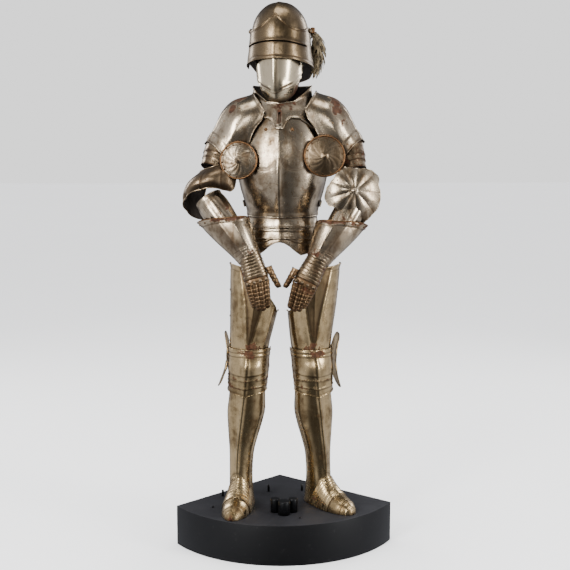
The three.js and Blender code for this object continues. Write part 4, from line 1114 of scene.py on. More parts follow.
def build_skirt():
    def lame(name, node, angles, z, off, wave, front, columns=110, rows=18):
        piece = Piece(name, TRUNK)
        place, where = on_form(SKIRT, angles, z, off)

        def crest(u, v):
            angle, height = where(u, v)
            spread = folded(angle) if front else from_back(angle)
            cusp = 5.5 * np.exp(-spread / 5) - 2.5 * np.cos(spread * 0.22) * smooth(40, 0, spread)
            middle = mix(value_of(z[0], angle), value_of(z[1], angle), wave) if wave else 0
            return spread, height - middle - cusp

        def relief(u, v):
            angle, height = where(u, v)
            spread, gap = crest(u, v)
            raised = 2.4 * bump(gap, 2.6) * smooth(62, 50, spread) if wave else 0
            return raised + 1.8 * smooth(0.22, 0.02, v) + 2.5 * crease(spread, 5)

        # painted shade: a dark line under each raised line, darker at the top under the lame above and on the
        # sides turned from the light
        def soil(u, v):
            spread, gap = crest(u, v)
            line = 0.55 * bump(gap + 4.5, 2) * smooth(62, 50, spread) if wave else 0
            return np.clip(line + 0.75 * smooth(0.82, 1, v) + 0.4 * smooth(58, 80, spread), 0, 1)

        rust = lambda u, v: 0.3 * smooth(0.7, 1, v)
        skin = piece.wall(place, spaced(columns), spaced(rows), relief, soil, rust)
        piece.tube(edge_line(skin, "low", lift=-0.2, count=140), 1.5)
        piece.rivets(skin, [(u, 0.5) for u in (0.03, 0.97)], 3.4, 2.2, 1)
        piece.finish(SUIT_SLOTS, [node])
        return piece, skin

    arch = lambda a: along(FAULD_ARCH, folded(a))
    lame("fauld_lame_1_plate", "fauld_lame_1", FRONT, (1020, 1052), -LAP, 0, True)
    lame("fauld_lame_2_plate", "fauld_lame_2", FRONT, (983, 1027), -2 * LAP, 0.62, True, rows=26)
    lame("fauld_lame_3_plate", "fauld_lame_3", FRONT, (arch, 990), -3 * LAP, 0.7, True, rows=26)
    lame("culet_lame_1_plate", "culet_lame_1", BACK, (1012, 1052), -LAP, 0, False)
    lame("culet_lame_2_plate", "culet_lame_2", BACK, (980, 1020), -2 * LAP, 0.5, False)
    tail = lambda a: 950 - 0.1 * from_back(a)
    lame("culet_lame_3_plate", "culet_lame_3", BACK, (tail, 988), -3 * LAP, 0.6, False)


# ---------------------------------------------------------------- arms
ARMS = {
    "right": dict(
        side=-1, pauldron=(-79, 15, 1400), shoulder=(-178, 15, 1385), elbow=(-275, -80, 1135),
        wrist=(-115, -170, 917), knuckles=(-93, -190, 842), fingertips=(-80, -172, 744),
        across=(0.95, 0, 0.3),
        thumb=((-57, -186, 898), (-20, -184, 826)),
        besagew=dict(at=(-158, -138, 1251), radius=61, face=(-0.1, -0.98, 0.12)),
    ),
    "left": dict(
        side=1, pauldron=(77, 15, 1406), shoulder=(186, 15, 1385), elbow=(256, -78, 1124),
        wrist=(105, -170, 907), knuckles=(66, -190, 834), fingertips=(38, -172, 742), across=(0.92, 0, -0.4),
        thumb=((37, -189, 892), (0, -184, 826)),
        besagew=dict(at=(134, -142, 1265), radius=67, face=(0.05, -0.99, 0.08)),
        shell=dict(at=(234, -150, 1150), face=(0.18, -0.97, 0.12), up=(0.05, 0.1, 0.99)),
    ),
}
SHOULDER_SLOPE = 40


def build_pauldron(name, arm):
    side = arm["side"]
    slope = SHOULDER_SLOPE * DEG
    root = arm["pauldron"]
    tip = (root[0] + side * math.cos(slope), root[1], root[2] - math.sin(slope))
    piece = Piece(f"{name}_pauldron_plate", limb(root, tip, (0, -1, 0)), mirror=side > 0)
    angles = lambda v: (along([(0, 2), (0.14, -9), (0.4, -18), (0.8, -36), (1, -44)], v),
        along([(0, 186), (1, 222)], v))
    neck = lambda a: -15 - 12 * np.maximum(0, np.sin(a * DEG))
    arm_edge = lambda a: 214 - 28 * np.maximum(0, np.cos(a * DEG))
    place, where = on_form(PAULDRON, angles, (neck, arm_edge))

    def relief(u, v):
        angle, z = where(u, v)
        ridge = 5 * crease(angle - 48 - 0.02 * z, 5) * smooth(20, 90, z)
        ridge = ridge + 3.5 * crease(angle - 10 + 0.05 * z, 5) * smooth(60, 130, z)
        fold = 2.2 * crease(angle - 128, 6) * smooth(20, 70, z)
        border = 1.8 * smooth(0.03, 0.008, np.minimum(u, 1 - u)) + 1.6 * smooth(0.05, 0.01, v)
        lame = 1.6 * smooth(0.86, 0.862, v) * smooth(1.0, 0.9, v)
        return ridge + fold + border + lame

    # painted shade: under the lame step, beside the border at the neck, and darker towards the lower edge
    def soil(u, v):
        line = 0.8 * bump((v - 0.852) * 200, 2.4)
        return np.clip(line + 0.5 * bump((v - 0.035) * 200, 3) + 0.6 * smooth(0.94, 1, v), 0, 1)

    def rust(u, v):
        angle, z = where(u, v)
        spots = ((56, 26, 30, 0.95), (38, 62, 22, 0.8), (30, 104, 20, 0.6), (74, 90, 14, 0.4))
        if side > 0:
            spots = ((66, 30, 34, 0.9), (44, 48, 22, 1.0), (30, 66, 22, 1.0), (60, 88, 16, 0.8),
                (24, 110, 16, 0.6))
        total = 0 * angle
        for a, along_z, size, strength in spots:
            total = np.maximum(total, strength * bump(np.hypot((angle - a) * 1.6, z - along_z), size))
        return total

    skin = piece.wall(place, spaced(120), spaced(90), relief, soil, rust)
    for edge, radius in (("low", 2.4), ("left", 1.9), ("right", 1.9), ("high", 1.9)):
        piece.tube(edge_line(skin, edge, lift=0.2, count=120), radius)
    holes = ((0.2, 0.3), (0.14, 0.5), (0.26, 0.62), (0.2, 0.78), (0.33, 0.2), (0.4, 0.83), (0.55, 0.83),
        (0.7, 0.83))
    piece.rivets(skin, holes, 2.7, 1.2, 2)
    piece.rivets(skin, [(u, 0.91) for u in np.linspace(0.08, 0.92, 9)], 2.6, 1.8, 1)
    piece.finish([ARMOUR, COPPER, RUSTY], [f"{name}_pauldron"])


def build_arm_lames(name, arm):
    matrix = limb(arm["shoulder"], arm["elbow"], (arm["side"], -0.7, 0))
    for i, (z, off) in enumerate((((104, 148), -0.8), ((142, 168), -1.8), ((162, 192), -2.8))):
        piece = Piece(f"{name}_arm_lame_{i + 1}_plate", matrix)
        place, where = on_form(UPPER_ARM, (-112, 112), z, off * LAP)
        relief = lambda u, v: 2.4 * bump(v - 0.14, 0.1) + 1.6 * crease(where(u, v)[0] + 10, 5)
        # a dark line across the middle and darker towards the top
        soil = lambda u, v: np.clip(0.6 * bump(v - 0.36, 0.09) + 0.8 * smooth(0.72, 1, v), 0, 1)
        skin = piece.wall(place, spaced(80), spaced(14), relief, soil, lambda u, v: 0.35 + 0 * u)
        piece.tube(edge_line(skin, "low", lift=-0.1), 1.6, soil=(0.1, 0.2))
        piece.rivets(skin, [(u, 0.62) for u in (0.06, 0.3, 0.7, 0.94)], 2.6, 1.6, 1)
        piece.finish([BRONZED, COPPER, LEATHER], [f"{name}_arm_lame_{i + 1}"])


def reach_of(table):
    """The radius all round a dish, eased between the values of a table that ends as it starts."""
    radii = np.array(table)
    count = len(table) - 1

    def reach(u):
        slot = (u % 1) * count
        i = np.floor(slot).astype(int) % count
        t = slot - np.floor(slot)
        return mix(radii[i], radii[i + 1], t * t * (3 - 2 * t))

    return reach


def dish_place(reach, wrap, cone, shape):
    """A dish about a boss, with its rim behind the boss: reach(u) is its radius, and shape(angle, share)
    its flutes. The solids of these pieces curve the other way, which is a fault in the solids."""
    inner, outer, length = wrap

    def place(u, v):
        angle = u * 2 * math.pi
        share = np.maximum(1 - v, 0.004)
        r = share * reach(u)
        x, y = r * np.cos(angle), r * np.sin(angle)
        bend = np.where(x > 0, outer, inner)
        back = bend * (1 - np.cos(x / bend)) + y * y / (2 * length) + cone * share - shape(angle, share)
        return np.stack([bend * np.sin(x / bend), back, y], -1)

    return place


def build_besagew(name, arm):
    facts = arm["besagew"]
    piece = Piece(f"{name}_besagew_disc", facing_frame(facts["at"], facts["face"], (0, 0, 1)))
    sweep, count = 0.9, 14

    def shape(angle, share):
        wave = np.abs(np.sin((angle + sweep * share) * count / 2))
        flutes = 0.5 * wave * smooth(0.12, 0.3, share) * smooth(0.9, 0.78, share)
        return flutes + 3.0 * smooth(0.3, 0.0, share) ** 2

    place = dish_place(lambda u: facts["radius"] + 0 * u, (900, 900, 900), 13, shape)

    # painted shade: dark lines in the troughs of the swirled flutes and a darker ring just inside the rivets
    def soil(u, v):
        share, angle = 1 - v, u * 2 * math.pi
        wave = np.abs(np.sin((angle + sweep * share) * count / 2))
        return np.clip(0.95 * smooth(0.17, 0.03, wave) * smooth(0.84, 0.74, share)
            + 0.7 * bump(share - 0.86, 0.025), 0, 1)

    tone = ARMOUR if name == "right" else BRONZED
    vs = np.concatenate([np.linspace(0, 0.93, 46), [0.97, 0.995]])
    skin = piece.wall(place, spaced(180, tight=False), vs, None, soil, closed=True)
    piece.rim(skin, 120, -0.4, 3.4, 1, sides=10, soil=(0.15, 0.1))
    piece.rivets(skin, [(i / 14 + 0.02, 0.1) for i in range(14)], 3.1, 2.2, 2, soil=(0.7, 0.2))
    centre = skin(np.array(0.0), np.array(0.99))
    piece.stud(centre, (0, -1, 0), 4.6, 3.4, 0, sides=20)
    piece.finish([tone, COPPER, RUSTY], [f"{name}_besagew"])


FAN_REACH = [
    99, 92, 105, 98, 88, 78, 75, 79, 90, 82, 79, 86,
    98, 105, 100, 84, 79, 86, 102, 122, 110, 105, 107, 103, 99,
]


def build_fan_couter(name, arm):
    shell = arm["shell"]
    piece = Piece(f"{name}_couter_shell", facing_frame(shell["at"], shell["face"], shell["up"]))
    count = 9

    def shape(angle, share):
        wave = np.abs(np.sin(angle * count / 2))
        return (3.2 * wave - 1.4) * smooth(0.05, 0.5, share) + 5 * smooth(0.16, 0.0, share) ** 2

    place = dish_place(reach_of(FAN_REACH), (130, 200, 150), 0, shape)

    # painted shade: dark lines in the troughs of the flutes
    def soil(u, v):
        wave = np.abs(np.sin(u * math.pi * count))
        return 0.95 * smooth(0.09, 0.0, wave) * smooth(0.06, 0.2, 1 - v)

    skin = piece.wall(place, spaced(252, tight=False), np.linspace(0, 0.995, 50), None, soil, closed=True)
    piece.rim(skin, 200, -0.8, 1.9)
    piece.stud(skin(np.array(0.0), np.array(0.99)), (0, -1, 0), 3.4, 2.6, 0, sides=20)
    piece.rivets(skin, [(0.52, 0.16), (0.6, 0.14), (0.42, 0.16)], 3, 2, 1)
    piece.finish(SUIT_SLOTS, [f"{name}_couter"])


BELL = Form("place cx cy cz ax az fy fz across forward", [
    (0, -236, -42, 1224, 0.96, 0.28, -1, 0.1, 59, 60), (1, -246, -66, 1184, 0.99, 0.14, -0.95, 0.31, 84, 74),
    (2, -252, -80, 1138, 1, 0.05, -0.85, 0.53, 93, 79), (3, -248, -80, 1098, 1, 0, -0.67, 0.74, 98, 81),
])


def build_bell_couter(name):
    piece = Piece(f"{name}_couter_shell")

    def place(u, v):
        hoop = BELL.sample(v * 3)
        angle = mix(-14 - 38 * v * v, -250, u) * DEG
        flute = 1 + 0.05 * smooth(0.05, 0.6, v) * np.abs(np.cos(angle * 4)) - 0.02
        x, f = np.cos(angle) * hoop["across"] * flute, -np.sin(angle) * hoop["forward"] * flute
        return np.stack([hoop["cx"] + x * hoop["ax"], hoop["cy"] + f * hoop["fy"],
                         hoop["cz"] + x * hoop["az"] + f * hoop["fz"]], -1)

    # painted shade: dark lines in the troughs of the flutes; the whole shell is also darker, more so towards
    # the top
    def soil(u, v):
        angle = mix(-14 - 38 * v * v, -250, u) * DEG
        wave = np.abs(np.cos(angle * 4))
        return np.clip(0.9 * smooth(0.2, 0.0, wave) * smooth(0.05, 0.3, v) + 0.42
            + 0.2 * smooth(0.7, 0.2, v), 0, 1)

    skin = piece.wall(place, spaced(150), spaced(80), None, soil)
    for edge in ("low", "high", "left", "right"):
        piece.tube(edge_line(skin, edge, lift=-0.6, count=140), 2.6)
    piece.finish([BRONZED, COPPER, LEATHER], [f"{name}_couter"])


def build_forearm(name, arm):
    side = arm["side"]
    matrix = limb(arm["elbow"], arm["wrist"], (side * 0.2, -1, 0))
    length = (Vector(arm["wrist"]) - Vector(arm["elbow"])).length
    piece = Piece(f"{name}_cannon_plate", matrix)
    place, where = on_form(FOREARM, (-180, 180), (24, 190))

    def relief(u, v):
        angle, z = where(u, v)
        flutes = np.abs(np.sin((angle + z * 0.1) * DEG * 6))
        seam = -1.2 * bump(folded(angle - 180 + side * 95), 2.5)
        return 2.4 * flutes * smooth(24, 60, z) + seam + 1.8 * smooth(32, 26, z)

    # painted shade in the troughs of the twisted flutes
    def soil(u, v):
        angle, z = where(u, v)
        flutes = np.abs(np.sin((angle + z * 0.1) * DEG * 6))
        return 0.8 * smooth(0.25, 0, flutes) * smooth(24, 60, z)

    rust = lambda u, v: 0.5 * bump(where(u, v)[1] - 104, 18)
    skin = piece.wall(place, spaced(140, tight=False), spaced(44), relief, soil, rust, closed=True)
    piece.rim(skin, 90, -0.6, 1.8)
    piece.finish(SUIT_SLOTS, [f"{name}_lower_cannon"])

    piece = Piece(f"{name}_cuff_plate", matrix)
    rim = lambda a: 115 + 45 * side * np.sin(a * DEG)

    def cuff(u, v):
        angle = mix(-180, 180, u)
        point = CUFF.point(angle, v, 9)
        return np.concatenate([point[..., :2], mix(rim(angle), length - 10, v)[..., None]], -1)

    fold_at = side * 34

    def cuff_relief(u, v):
        angle = mix(-180, 180, u)
        from_rim = v * 170
        band = 1.2 * smooth(19, 16, from_rim) - 0.7 * bump(from_rim - 20, 1.6)
        spine = 4.0 * crease(angle - fold_at, 7) * smooth(0.04, 0.2, v)
        lames = 0.9 * (1 - ((v * 58) % 4) / 4) * smooth(0.78, 0.8, v)
        return band + spine + lames + 1.2 * bump(from_rim - 4, 3)

    # painted shade: dark in the groove below the band, under each lame step, on the front facet and beside
    # the spine
    def cuff_soil(u, v):
        angle = mix(-180, 180, u)
        from_rim = v * 170
        steps = 0.85 * smooth(0.72, 1.0, (v * 14.5) % 1) * smooth(0.77, 0.8, v)
        shade = 0.7 * smooth(44, 8, np.abs(angle + side * 4)) * smooth(0.1, 0.3, v)
        return np.clip(0.85 * bump(from_rim - 21.5, 2.0) + steps + shade
            + 0.4 * bump(angle - fold_at - 6, 4), 0, 1)

    def cuff_rust(u, v):
        angle = mix(-180, 180, u)
        return np.clip(0.65 * smooth(24, 6, v * 170) + 0.4 * smooth(0.74, 0.95, v)
            + 0.25 * bump(angle - fold_at, 20), 0, 1)

    vs = np.unique(np.concatenate([spaced(60, 0, 0.77, True), np.linspace(0.77, 1, 44)]))
    skin = piece.wall(cuff, spaced(140, tight=False), vs, cuff_relief, cuff_soil, cuff_rust, closed=True)
    piece.rim(skin, 120, -0.4, 2.2, 1, soil=(0.2, 0.3))
    piece.rivets(skin, [((a % 360) / 360, 0.062) for a in range(8, 360, 30)], 3.8, 2.6, 2, soil=(0.8, 0.2))
    piece.finish([ARMOUR, COPPER, RUSTY], [f"{name}_gauntlet_cuff"])


FINGER_SPREAD = (-31, -10.5, 10.5, 31)
FINGER_BEND, FINGER_CLOSING, FINGER_DROP = 9, 0.72, 0.012


def lame_marks(count):
    return [k / count for k in range(1, count)]


def stepped_rows(steps, marks, gap=0.004):
    """Rows of a plate with steps: one row close to each side of every mark keeps its step sharp."""
    around = [[mark - gap for mark in marks], [mark + gap for mark in marks]]
    return np.unique(np.concatenate([np.linspace(0, 0.999, steps)] + around))


def add_finger(piece, start, end, across, half, scales=7):
    start, end, side = (np.array(v, float) for v in (start, end, across))
    axis = end - start
    side /= np.linalg.norm(side)
    up = np.cross(side, axis / np.linalg.norm(axis))
    up /= np.linalg.norm(up)
    turned_over = bool(up[1] > 0)
    if turned_over:
        up = -up

    def place(u, v):
        angle = mix(-100, 100, u) * DEG
        step = (v * scales) % 1
        size = half * (1 - 0.22 * v) + 1.9 * (1 - step) - 0.9
        size = size + 1.1 * crease(np.abs(angle), 0.25)
        rise = FINGER_BEND * 4 * v * (1 - v)
        drop = smooth(0.86, 1, v) * 3.5
        return (start + axis * v[..., None] + side * (size * np.sin(angle))[..., None]
                + up * (size * 0.9 * np.cos(angle) + rise - drop)[..., None])

    # painted shade where each scale runs under the next and on the sides turned away
    soil = lambda u, v: np.clip(0.9 * smooth(0.62, 1.0, (v * scales) % 1)
        + 0.5 * smooth(0.22, 0.05, np.minimum(u, 1 - u)), 0, 1)
    rust = lambda u, v: 0.2 + 0.2 * np.sin(v * 9)
    marks = lame_marks(scales)
    vs = stepped_rows(5 * scales, marks)
    skin = piece.wall(place, spaced(16), vs, None, soil, rust, flip=turned_over)
    piece.rivets(skin, [(u, m + 0.05) for m in marks for u in (0.16, 0.84)], 1.4, 0.9, 1, sides=6)
    return skin


def build_hand(name, arm):
    matrix = limb(arm["wrist"], arm["knuckles"], (0, -1, 0.3))
    knuckles = Vector(arm["knuckles"])
    length = (knuckles - Vector(arm["wrist"])).length
    piece = Piece(f"{name}_hand_lames", matrix)
    place, _ = on_form(HAND, (-104, 104), (-30, length - 14), LAP)
    count = 9

    def relief(u, v):
        return 2.0 * (1 - (v * count) % 1) - 0.8 + 1.2 * bump((u - 0.5) * 60, 14)

    # painted shade where each lame runs under the next
    soil = lambda u, v: np.clip(0.9 * smooth(0.66, 1.0, (v * count) % 1), 0, 1)
    rust = lambda u, v: 0.25 + 0.35 * smooth(0.3, 0.0, np.minimum(u, 1 - u))
    marks = lame_marks(count)
    vs = stepped_rows(50, marks)
    skin = piece.wall(place, spaced(60), vs, relief, soil, rust)
    piece.rivets(skin, [(u, m + 0.05) for m in marks for u in (0.1, 0.9)], 1.8, 1.2, 1, sides=8)
    piece.finish([BRONZED, COPPER, RUSTY], [f"{name}_hand_plate"], slot="rusty_steel")

    piece = Piece(f"{name}_finger_scales")
    across = Vector(arm["across"]).normalized()
    for spread in FINGER_SPREAD:
        root = knuckles + across * spread + Vector((0, -11, 2))
        tip = Vector(arm["fingertips"]) + Vector((FINGER_CLOSING * spread, 0, FINGER_DROP * spread * spread))
        add_finger(piece, root, tip, arm["across"], 10)
        piece.stud(np.array(root) + np.array((0, -9.5, 5.0)), (0, -0.93, 0.36), 6.6, 6.0, 2, sides=16)
    strip_matrix = np.array(FIGURE.inverted() @ matrix)
    strip_place, _ = on_form(HAND, (-96, 96), (length - 20, length + 6))

    def strip(u, v):
        return strip_place(u, v) @ strip_matrix[:3, :3].T + strip_matrix[:3, 3]

    # the knuckle strip is darker along its lower edge
    piece.wall(strip, spaced(50), spaced(10), lambda u, v: 2.2 * bump(v - 0.5, 0.25), lambda u,
        v: 0.5 * smooth(0.3, 0, v))
    bar = [np.array(knuckles + across * s + Vector((0, -20, 3))) for s in np.linspace(-33, 33, 24)]
    piece.tube(bar, 3.6, 0, soil=(0.3, 0.2))
    piece.finish([RUSTY, COPPER, BRONZED], [f"{name}_finger_plates"], slot="rusty_steel")

    piece = Piece(f"{name}_thumb_scales")
    start, end = arm["thumb"]
    add_finger(piece, start, end, arm["across"], 10, 5)
    piece.finish([RUSTY, COPPER, BRONZED], [f"{name}_thumb_plates"], slot="rusty_steel")


# ---------------------------------------------------------------- legs
KNEE_REACH = [22, 26, 52, 96, 100, 80, 62, 82, 106, 104, 62, 26, 22]
KNEE_WINGS = {
    "right": dict(at=(-207, 52, 536), face=(-1, 0.1, 0.12), up=(0, 0, 1)),
    "left": dict(at=(172, 48, 534), face=(1, 0.25, 0.02), up=(0, 0, 1)),
}


def build_leg(name, out):
    form = leg_form(name)
    cuisse_top = [(-105, 716), (-62, 722), (-24, 790), (2, 858), (20, 878), (60, 886), (105, 884)]
    piece = Piece(f"{name}_cuisse_plate")
    place, where = on_form(form, (-105, 105), (572, lambda a: along(cuisse_top, a * out)), ridge=9)

    def ridges(u, v):
        angle, z = where(u, v)
        outer, up = angle * out, z - 572
        return [crease(outer - (2 + up * 0.115), 2.6) * smooth(0, 40, up),
                crease(outer - (-4 - up * 0.10), 2.6) * smooth(0, 40, up),
                crease(outer - (-44 - up * 0.05), 2.6) * smooth(0, 60, up)]

    def relief(u, v):
        _, z = where(u, v)
        return 3.2 * sum(ridges(u, v)) + 2.2 * smooth(0.035, 0.01, 1 - v) - 0.9 * bump((1 - v) * 300 - 16,
            2.2)

    # painted shade: beside and between the two ridges, in the groove below the top edge and at the bottom
    # where the poleyn overlaps; also three short dark lines low on the inner side
    def soil(u, v):
        angle, z = where(u, v)
        outer, up = angle * out, z - 572
        beside = bump(outer - (2 + up * 0.115) + 4, 2.4) + bump(outer - (-4 - up * 0.10) - 4, 2.4)
        between = 0.85 * smooth(-4 - up * 0.10, 2 - up * 0.10, outer) * smooth(2 + up * 0.115, -3
            + up * 0.115, outer)
        line = 0.7 * bump((1 - v) * 300 - 18, 2.4)
        marks = sum(bump(z - h, 1.1) for h in (664, 656, 648)) * bump(outer + 22, 6)
        return np.clip(0.3 * beside * smooth(0, 40, up) + between + line + 0.8 * marks
            + 0.5 * smooth(30, 6, up), 0, 1)

    def rust(u, v):
        angle, z = where(u, v)
        return np.clip(0.75 * smooth(640, 590, z) * bump(angle * out + 12, 34) + 0.2 * smooth(0.9, 1, v), 0,
            1)

    skin = piece.wall(place, spaced(150), spaced(110), relief, soil, rust)
    piece.tube(edge_line(skin, "high", lift=0, count=140), 2.3)
    for side in ("left", "right"):
        piece.tube(edge_line(skin, side, lift=-0.4, count=100), 1.5)
    outer_u = 0.93 if out > 0 else 0.07
    piece.rivets(skin, [(outer_u, v) for v in (0.12, 0.4, 0.7)], 4, 2.6, 1)
    piece.finish(LEG_SLOTS, [f"{name}_cuisse"])

    wing = KNEE_WINGS[name]
    piece = Piece(f"{name}_knee_wing", facing_frame(wing["at"], wing["face"], wing["up"]), mirror=out < 0)

    shape = lambda angle, share: 3.0 * np.abs(np.sin(angle * 4)) * smooth(0.1, 0.5, share) * smooth(1.02,
        0.8, share)
    # painted shade in the flute troughs
    soil = lambda u, v: 0.8 * smooth(0.25, 0, np.abs(np.sin(u * 8 * math.pi))) * smooth(0.1, 0.4, 1 - v)
    place = dish_place(reach_of(KNEE_REACH), (300, 300, -260), 0, shape)
    vs = np.linspace(0, 0.995, 34)
    skin = piece.wall(place, spaced(140, tight=False), vs, None, soil, closed=True, black=0.25)
    piece.rim(skin, 130, -0.6, 2.0)
    piece.stud(skin(np.array(0.0), np.array(0.99)), (0, -1, 0), 7, 4, 1, sides=18)
    piece.finish(LEG_SLOTS, [f"{name}_poleyn_wing"])

    piece = Piece(f"{name}_poleyn_plate")
    place, where = on_form(form, (-92, 92), (462, 588), LAP, ridge=8)
    levels = (580, 566, 478)

    def knee_relief(u, v):
        angle, z = where(u, v)
        bands = 1.4 * sum(bump(z - h, 2.4) for h in levels) + 2.4 * smooth(1, 0.96, 1 - v)
        cop = 5.5 * bump(np.hypot(angle * 0.9, z - 522), 26) + 2.5 * crease(angle, 6)
        return bands + cop + 1.4 * bump(z - 500 - 0.002 * angle**2, 2.6)

    # painted shade under each band and raised line and beside the middle ridge
    def knee_soil(u, v):
        angle, z = where(u, v)
        lines = sum(bump(z - h + 5, 2) for h in levels)
        return np.clip(0.85 * lines + 0.8 * bump(z - 494 - 0.002 * angle**2, 2)
            + 0.35 * bump(angle * out + 12, 9), 0, 1)

    def knee_rust(u, v):
        angle, z = where(u, v)
        return np.clip(0.8 * smooth(30, 0, np.abs(z - 575)) * bump(angle * out - 4, 34)
                       + 0.6 * smooth(24, 0, np.abs(z - 480)), 0, 1)

    skin = piece.wall(place, spaced(110), spaced(72), knee_relief, knee_soil, knee_rust)
    for side in ("low", "high", "left", "right"):
        piece.tube(edge_line(skin, side, lift=-0.4), 1.5)
    rear = 0.05 if out > 0 else 0.95
    studs = [(rear, v) for v in np.linspace(0.06, 0.94, 7)] + [(1 - rear, 0.2), (1 - rear, 0.8)]
    piece.rivets(skin, studs, 3.4, 2.6, 1)
    piece.finish(LEG_SLOTS, [f"{name}_poleyn"])

    piece = Piece(f"{name}_poleyn_lame_plate")
    lame_edge = [(0, 416), (30, 424), (92, 436)]
    place, where = on_form(form, (-92, 92), (lambda a: along(lame_edge, folded(a)), 480), 2 * LAP, ridge=8)
    relief = lambda u, v: 1.8 * bump(v - 0.5, 0.05) + 2.4 * crease(where(u, v)[0], 6) + 1.3 * smooth(0.1, 0,
        v)
    # painted shade under the raised rib, at the top under the poleyn and above the lower border
    soil = lambda u, v: np.clip(0.9 * bump(v - 0.43, 0.04) + 0.6 * smooth(0.75, 1, v)
        + 0.5 * bump(v - 0.1, 0.04), 0, 1)
    skin = piece.wall(place, spaced(100), spaced(34), relief, soil, lambda u, v: 0.45 * bump(v - 0.5, 0.3))
    piece.tube(edge_line(skin, "low", lift=-0.3), 1.4)
    piece.rivets(skin, [(u, 0.75) for u in (0.05, 0.95)], 3.2, 2.2, 1)
    piece.finish(LEG_SLOTS, [f"{name}_poleyn_lame"])

    piece = Piece(f"{name}_greave_front_plate")
    instep = [(0, 112), (20, 104), (35, 84), (50, 54), (66, 26), (88, 10)]
    place, where = on_form(form, FRONT, (lambda a: along(instep, folded(a)), 452), ridge=6)

    def shin_relief(u, v):
        angle, z = where(u, v)
        return (3 * crease(angle, 4) + 5 * crease(angle, 20)) * smooth(100, 170, z) + 1.8 * smooth(0.03,
            0.005, v)

    # painted shade beside the middle ridge, on the facets turned from the light and above the lower border
    def shin_soil(u, v):
        angle, z = where(u, v)
        beside = 0.45 * bump(angle * out + 7, 6) + 0.35 * smooth(-2, -34, angle * out) * smooth(-75, -50,
            angle * out)
        return np.clip(beside * smooth(120, 200, z) + 0.7 * bump((v - 0.045) * 350, 4), 0, 1)

    rust = lambda u, v: 0.25 * smooth(0.25, 0.05, v) + 0.35 * smooth(0.9, 1, v)
    skin = piece.wall(place, spaced(110), spaced(110), shin_relief, shin_soil, rust)
    for side, radius in (("low", 1.9), ("left", 1.4), ("right", 1.4)):
        piece.tube(edge_line(skin, side, lift=-0.3, count=110), radius)
    inner = 0.035 if out > 0 else 0.965
    piece.rivets(skin, [(inner, v) for v in (0.34, 0.62, 0.66, 0.7, 0.92)], 3.2, 2.4, 2)
    piece.finish([LEG_STEEL, COPPER, RUSTY], [f"{name}_greave_front"])

    piece = Piece(f"{name}_greave_back_plate")
    place, where = on_form(form, BACK, (3, 430))

    def calf_relief(u, v):
        angle, z = where(u, v)
        return 2.4 * crease(from_back(angle), 5) * smooth(60, 140, z) + 1.8 * smooth(0.97, 0.995, v)

    # the calf plate is darker along its lower edge
    skin = piece.wall(place, spaced(100), spaced(110), calf_relief, lambda u, v: 0.6 * smooth(0.06, 0.0, v))
    for side in ("high", "left", "right"):
        piece.tube(edge_line(skin, side, lift=-0.3, count=110), 1.5)
    hinge = 0.04 if out < 0 else 0.96
    piece.rivets(skin, [(hinge, v) for v in (0.28, 0.32, 0.8, 0.84)], 3.4, 2.4, 1)
    piece.finish(LEG_SLOTS, [f"{name}_greave_back"])


FEET = {"right": ((-148, 80), -9, 257), "left": ((85, 76), 40, 243)}
ARCHES = Form("place top base w h", [
    (0, 0.44, 0.26, 44, 108), (1, 0.51, 0.4, 46, 88), (2, 0.59, 0.52, 48, 70), (3, 0.7, 0.66, 48, 56),
    (4, 0.82, 0.8, 43, 45), (5, 0.91, 0.9, 32, 34), (6, 0.97, 0.97, 18, 21), (7, 1, 1, 3, 6),
])


def foot_place(name, first, last, off):
    (heel_x, heel_y), turn, length = FEET[name]
    turn = turn * DEG

    def place(u, v):
        arch = ARCHES.sample(mix(last, first, v))
        angle = mix(-89, 89, u) * DEG
        lift = np.cos(angle) ** 0.85
        across = arch["w"] * np.sin(angle)
        forward = length * mix(arch["base"], arch["top"], lift)
        return np.stack([heel_x + forward * math.sin(turn) + across * math.cos(turn),
                         heel_y - forward * math.cos(turn) + across * math.sin(turn),
                         off + 1 + lift * arch["h"]], -1)

    return place


def build_foot(name):
    piece = Piece(f"{name}_sabaton_lame_plates")
    count = 7
    marks = lame_marks(count)

    def relief(u, v):
        return LAP + 1.8 * ((v * count) % 1) - 1.0 + 2.0 * crease((u - 0.5) * 100, 5)

    # painted shade where each lame runs under the one before and beside the middle ridge
    soil = lambda u, v: np.clip(0.8 * smooth(0.22, 0.0, (v * count) % 1)
        + 0.3 * bump((u - 0.5) * 100 - 4, 3), 0, 1)
    vs = stepped_rows(6 * count, marks, 0.003)
    skin = piece.wall(foot_place(name, 0, 3, 0), spaced(80), vs, relief, soil, lambda u, v: 0.3
        + 0.3 * np.abs(u - 0.5))
    piece.rivets(skin, [(u, m + 0.06) for m in marks for u in (0.1, 0.9)], 2.2, 1.5, 1, sides=8)
    piece.finish(LEG_SLOTS, [f"{name}_sabaton_lames"])

    piece = Piece(f"{name}_sabaton_toe_cap")

    def toe_relief(u, v):
        return 2.2 * crease((u - 0.5) * 100, 5) + 1.5 * bump(v - 0.62, 0.02) + 1.5 * bump(v - 0.34,
            0.02) * (v > 0.3)

    # painted shade under the raised rib and where the cap runs under the lames; darker at the tip
    soil = lambda u, v: np.clip(0.8 * bump(v - 0.59, 0.025) + 0.5 * smooth(0.92, 1, v)
        + 0.5 * smooth(0.12, 0.02, v), 0, 1)
    skin = piece.wall(foot_place(name, 3, 7, 0), spaced(80), spaced(70), toe_relief, soil, lambda u,
        v: 0.35 * smooth(0.3, 0, v))
    piece.tube(edge_line(skin, "high", lift=-0.3), 1.3)
    piece.finish(LEG_SLOTS, [f"{name}_sabaton_toe"])


